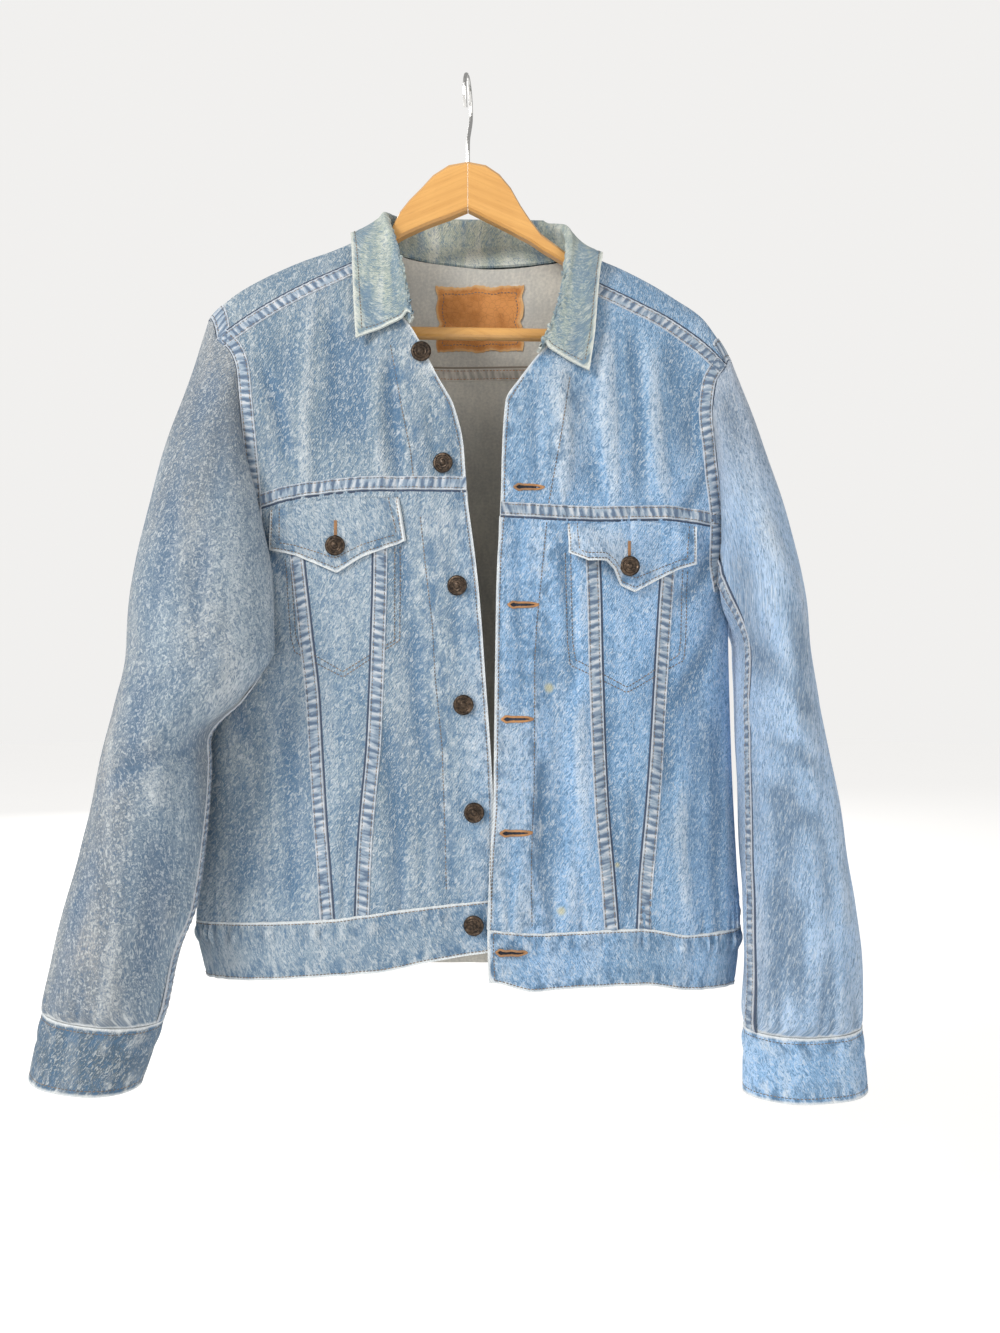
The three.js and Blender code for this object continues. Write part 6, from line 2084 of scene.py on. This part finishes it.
FLAP_CREASES = {
    "right": [(-150, -392, -128, -432, 7, 0.9, 2), (-80, -386, -94, -428, 7, 0.8, -2)],
    "left": [(170, -404, 156, -444, 7, 0.9, 3), (112, -404, 118, -446, 7, 1.4, -4),
             (96, -410, 104, -434, 5, -1.6, 2)],
}
PLACKET_LINES = {
    "right": [[(-64.6, -248.4), (-55, -301), (-46.7, -341), (-44.1, -364.5)],
              [(-38.3, -396), (-33.7, -440.5), (-28.3, -485.6), (-25.8, -529.8),
               (-19.9, -590), (-17.4, -669.3), (-16.6, -709.4)]],
    "left": [[(87.8, -276), (79.4, -330.3), (74.4, -357), (69.4, -384.5)],
             [(67.7, -400.4), (63.2, -448), (59.4, -485.6), (57.7, -515.6), (57.3, -567.4),
              (56.9, -626.7), (55.2, -663.4), (54.4, -705.2), (55.2, -738.6)]],
}
POCKET_OUTLINE = {
    "right": [(-154.4, -430.5), (-149.4, -495.6), (-145.5, -509.8), (-103.8, -530.7),
              (-55.8, -499.8), (-55.8, -421.3)],
    "left": [(83.6, -425.5), (85.3, -500.6), (87.8, -520.6), (136.2, -544),
             (186.3, -516.5), (188, -500.6), (189.7, -439.2)],
}
BUTTONHOLES = [(53, -371, 25), (48, -470, 25), (43, -566, 26), (42, -660.5, 26),
               (38, -759.5, 25)]
PATCH = {"x": 10, "top": -171, "foot": -231, "wide": 83, "tall": 60, "thick": 1.6,
         "gap": 2.1}
PATCH_INSET = 4
PATCH_PITCH = 3.1


def model_button():
    """Shank button: raised rim, dished face with a fine ring, and a nub."""
    bpy.ops.object.select_all(action="DESELECT")
    bpy.ops.mesh.primitive_cylinder_add(vertices=40, radius=BUTTON_RADIUS * MM,
                                        depth=2 * MM, location=(0, 0, 1 * MM))
    obj = bpy.context.object
    bpy.ops.object.mode_set(mode="EDIT")
    bpy.ops.mesh.select_all(action="DESELECT")
    bpy.ops.mesh.select_mode(type="FACE")
    shape = bmesh.from_edit_mesh(obj.data)
    for face in shape.faces:
        face.select_set(face.normal.z > 0.9)
    bmesh.update_edit_mesh(obj.data)
    for inset, lift in BUTTON_STEPS:
        bpy.ops.mesh.inset(thickness=inset * MM, depth=0)
        bpy.ops.transform.translate(value=(0, 0, lift * MM))
    bpy.ops.object.mode_set(mode="OBJECT")
    bpy.ops.object.transform_apply(location=True, rotation=True, scale=True)
    edge = obj.modifiers.new("worn edges", "BEVEL")
    edge.width = BUTTON_EDGE * MM
    edge.segments = 2
    edge.limit_method = "ANGLE"
    edge.angle_limit = math.radians(25)
    bpy.ops.object.modifier_apply(modifier="worn edges")
    soften(obj, 35)
    return obj


def make_buttons():
    model = model_button()
    places = dict(BUTTONS)
    for name, (x, z) in FRONT_BUTTONS.items():
        places[name] = surface(x, z, BAND_STAND if name == "band_button" else 0.0)
    for name, (place, normal) in places.items():
        mesh = model.data.copy()
        mesh.name = f"shank_{name}"
        turn = Vector((0, 0, 1)).rotation_difference(Vector(normal)).to_matrix().to_4x4()
        mesh.transform(Matrix.Translation(Vector((place + normal * BUTTON_GAP) * MM)) @ turn)
        obj = added(f"shank_{name}", mesh)
        dress(obj, "bronze")
        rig.ride(obj, "root")
        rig.slot(obj, "button_metal")
        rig.replaces(obj, name)
    bpy.data.objects.remove(model)


def make_patch():
    """Leather patch on the inside of the back yoke, its edges torn and curled."""
    rows, columns = 40, 56
    v, u = spread(rows, columns)
    wide, tall = PATCH["wide"], PATCH["tall"]
    torn_u = waver(v * tall, 21, 0.4) * 1.1 - 2.2 * hump(v, 0.55, 0.05)
    torn_v = waver(u * wide, 27, 2.0) * 1.2 + 0.5 * waver(u * wide, 6, 0.3)
    x = PATCH["x"] + (wide - 3) * (u - 0.5) + torn_u * (2 * u - 1)
    z = mix(PATCH["top"] - 1.5, PATCH["foot"] + 1.5, v) - torn_v * (2 * v - 1)
    root = yoke_root(x, z, True)
    plain = lift_yoke(x, root)
    out, _ = facing(plain, np.array([0, 1.0, 0.2]))
    rim = np.minimum(np.minimum(u, 1 - u) * wide, np.minimum(v, 1 - v) * tall)
    relief = (0.35 * swell(x, 0 * x, z, 4.0)
              + 0.8 * hump(rim, 0, 3) * (0.5 + 0.5 * waver(x + z, 23, 1.0)))
    grid = plain - out * (PATCH["gap"] + np.clip(relief, 0, 2))[..., None]
    _, turned = facing(grid, -out)
    quads, _ = quad_indices(rows, columns)
    if turned:
        quads = quads[:, ::-1]
    obj = face_mesh("worn_leather_patch", grid.reshape(-1, 3), quads,
                    np.stack([x, z], -1).reshape(-1, 2), quads, {"edge": rim})
    dress(obj, "leather")
    wall(obj, PATCH["thick"])
    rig.ride(obj, "root")
    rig.slot(obj, "patch_leather")
    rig.replaces(obj, "leather_patch")
    TRIMS.setdefault("back", []).append(obj)
    inner = slice(PATCH_INSET, -PATCH_INSET)
    lines = [(grid[place][::step], -out[place][::step]) for place, step in (
        ((inner, PATCH_INSET), 1), ((-PATCH_INSET - 1, inner), 1),
        ((inner, -PATCH_INSET - 1), -1), ((PATCH_INSET, inner), -1))]
    TRIMS["back"].append(make_stitches("stitches_patch", lines, PATCH_PITCH))


def finish_hanger():
    for name, material in (("hanger_arm_right", "wood"), ("hanger_arm_left", "wood"),
                           ("trouser_bar", "wood"), ("hook", "steel")):
        dress(frame["nodes"][name], material)


def declare_sheets():
    """States each sheet's cut, with the sewing that lies on it."""
    carries = {"cloth_back_yoke": "back", "cloth_waistband": "waistband",
               "cloth_collar": "collar"}
    for side in SIDES:
        carries[f"cloth_front_centre_{side}"] = f"front_{side}"
        carries[f"cloth_top_sleeve_{side}"] = f"sleeve_{side}"
        carries[f"cloth_cuff_{side}"] = f"cuff_{side}"
        carries[f"cloth_pocket_flap_{side}"] = f"pocket_flap_{side}"
    TRIMS["back"] += TRIMS["inside"]
    for obj, flat, held, rests_on, area in SHEETS:
        name = obj.name
        if name == "cloth_back_yoke":
            rests_on = ["hanger_arm_right", "hanger_arm_left"]
        elif "pocket_flap" in name:
            held = "laid"
        elif name == "cloth_collar":
            held, rests_on = "folded", ["cloth_back_yoke"]
        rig.sheet(obj, flat=flat, held=held, rests_on=rests_on, area=area,
                 with_pieces=TRIMS.get(carries.get(name), []))


# Stage, in metres
FLOOR_RADIUS = 7
BACKDROP = 0.88
# Name, place, aim, size and share of the key light's power
LAMPS = [
    ("key", (-2.1, -1.7, 1.1), (0, 0, -0.45), 1.1, 1.0),
    ("fill", (1.6, -2.2, 0.3), (0, 0, -0.5), 2.0, 0.26),
    ("back", (-0.6, 2.6, 0.4), (0, 0, -0.5), 2.0, 0.55),
]
LAMP_COLOUR = (1.0, 0.975, 0.94)
CAMERA = (0.0285, -0.892, -0.5219)
SENSOR = 36


def make_stage():
    look = bpy.context.scene.jacket_sizes
    bpy.ops.object.select_all(action="DESELECT")
    bpy.ops.mesh.primitive_circle_add(vertices=96, radius=FLOOR_RADIUS, fill_type="NGON",
                                      location=(0, 0, look.floor))
    floor = bpy.context.object
    floor.name = "floor"
    t = principled("floor_paint", 0.9, Emission_Color=tone("studio"), Emission_Strength=0.64)
    t.colour(t.blend(t.noise(t.place(), 3.0, 2.0), tone("floor dark"), tone("floor")))
    dress(floor, "floor_paint")
    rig.stage(floor)
    world = bpy.data.worlds.new("studio")
    bpy.context.scene.world = world
    world.use_nodes = True
    t = Shading(world.node_tree)
    back = world.node_tree.nodes["Background"]
    back.inputs["Color"].default_value = tone("studio")
    seen = t.node("ShaderNodeLightPath").outputs["Is Camera Ray"]
    t.give(back.inputs["Strength"], t.ranged(seen, 0.0, 1.0, look.ambient, BACKDROP))
    for name, place, aim, size, share in LAMPS:
        lamp = bpy.data.lights.new(name, "AREA")
        lamp.shape = "SQUARE"
        lamp.size = size
        lamp.energy = look.key_power * share
        lamp.color = LAMP_COLOUR
        obj = added(name, lamp)
        obj.location = place
        obj.rotation_euler = (Vector(aim) - Vector(place)).to_track_quat("-Z", "Y").to_euler()
    camera = bpy.data.cameras.new("camera")
    camera.lens = look.lens
    camera.sensor_width = SENSOR
    holder = added("camera", camera)
    holder.location = CAMERA
    holder.rotation_euler = (math.pi / 2, 0, 0)
    bpy.context.scene.camera = holder
    bpy.context.scene.view_settings.view_transform = "Standard"


# Add-on
def tint(name, description, default):
    return FloatVectorProperty(name=name, description=description, default=default, min=0,
                               max=1, subtype="COLOR")


class JacketColours(bpy.types.PropertyGroup):
    """Dye and wear of the denim."""
    right: tint("Right half", "Washed colour of the greyer right half", (0.275, 0.36, 0.44))
    left: tint("Left half", "Washed colour of the bluer left half", (0.285, 0.485, 0.76))
    collar: tint("Collar", "Washed colour of the collar, tinted by wear", (0.40, 0.455, 0.42))
    # The deep indigo also paints the shade in the relief's troughs and in the pleat streaks.
    deep: tint("Deep dye", "Indigo that is left in the puckers", (0.075, 0.16, 0.275))
    # The worn white also paints the highlight on the ridges of the relief.
    worn: tint("Worn edge", "Bare cotton on ridges and edges", (0.72, 0.755, 0.77))


def length(name, description, default, low, high):
    return FloatProperty(name=name, description=description, default=default, min=low,
                         max=high, subtype="DISTANCE", unit="LENGTH")


class JacketSizes(bpy.types.PropertyGroup):
    """Fineness of the cloth, and the studio round it."""
    pitch: length("Cloth pitch", "Distance between the points of the cloth", 0.0036, 0.002,
                  0.01)
    stitch: length("Stitch pitch", "Distance from one stitch to the next", 0.0031, 0.002,
                   0.006)
    floor: length("Floor height", "Height of the studio floor below the hook", -1.06, -3,
                  -0.9)
    key_power: FloatProperty(
        name="Key light", description="Power of the soft key light",
        default=78.0, min=0, subtype="POWER", unit="POWER")
    ambient: FloatProperty(
        name="Ambient", description="Strength of the even light of the studio",
        default=0.42, min=0, max=3)
    lens: FloatProperty(
        name="Lens", description="Focal length of the camera",
        default=27.07, min=15, max=100, subtype="DISTANCE_CAMERA", unit="CAMERA")


STEPS = [
    ("finishes", "Mix Finishes", "Makes the denim, thread, metal, leather and wood finishes",
     make_materials),
    ("fronts", "Sew Fronts", "Makes the yoke, side, taper and centre panels of both fronts",
     make_fronts),
    ("backs", "Sew Back", "Makes the back yoke, centre and side panels", make_backs),
    ("waistband", "Sew Waistband", "Makes the waistband", make_waistband),
    ("sleeves", "Sew Sleeves", "Makes both sleeves with their cuffs", make_sleeves),
    ("collar", "Sew Collar", "Makes the collar folded over its stand", make_collar),
    ("flaps", "Sew Pocket Flaps", "Makes the flap of each chest pocket", make_flaps),
    ("fells", "Fell Seams", "Makes the felled bands along the seams", make_fells),
    ("threads", "Stitch Lines", "Makes the stitches of seams, plackets and pockets",
     make_threads),
    ("buttonholes", "Work Buttonholes", "Makes the buttonholes and the flap tacks",
     make_buttonholes),
    ("buttons", "Set Buttons", "Models one shank button and sets a copy at each place",
     make_buttons),
    ("patch", "Sew Patch", "Makes the plain leather patch inside the back neck", make_patch),
    ("hanger", "Finish Hanger", "Gives the hanger its varnished wood and bright steel",
     finish_hanger),
    ("sheets", "State Cuts", "States the flat size of each sheet of cloth", declare_sheets),
    ("stage", "Set Stage", "Makes the floor, the light and the camera", make_stage),
]


def piece_operator(name, label, description, build):
    """Operator of one group of pieces."""
    def execute(self, context):
        build()
        return {"FINISHED"}
    return type(f"JACKET_OT_{name}", (bpy.types.Operator,), {
        "__doc__": description, "bl_idname": f"jacket.{name}", "bl_label": label,
        "bl_options": {"REGISTER", "UNDO"}, "execute": execute})


OPERATORS = [piece_operator(*step) for step in STEPS]


class JACKET_PT_sidebar(bpy.types.Panel):
    """Steps that build the jacket, in order."""
    bl_label = "Denim Jacket"
    bl_idname = "JACKET_PT_sidebar"
    bl_space_type = "VIEW_3D"
    bl_region_type = "UI"
    bl_category = "Jacket"

    def draw(self, context):
        for group in (context.scene.jacket_colours, context.scene.jacket_sizes):
            for name in group.__annotations__:
                self.layout.prop(group, name)
        for step in STEPS:
            self.layout.operator(f"jacket.{step[0]}")


CLASSES = [JacketColours, JacketSizes, *OPERATORS, JACKET_PT_sidebar]


def register():
    for cls in CLASSES:
        bpy.utils.register_class(cls)
    bpy.types.Scene.jacket_colours = PointerProperty(type=JacketColours)
    bpy.types.Scene.jacket_sizes = PointerProperty(type=JacketSizes)


def unregister():
    del bpy.types.Scene.jacket_sizes
    del bpy.types.Scene.jacket_colours
    for cls in reversed(CLASSES):
        bpy.utils.unregister_class(cls)


def corners(box):
    return [[float(value) for value in corner] for corner in box]


def main():
    register()
    for name, *_ in STEPS:
        getattr(bpy.ops.jacket, name)()
    with open("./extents.json", "w") as file:
        json.dump({"cad": corners(CAD_BOX), "visual": corners(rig.bounds())}, file)


if __name__ == "__main__":
    main()
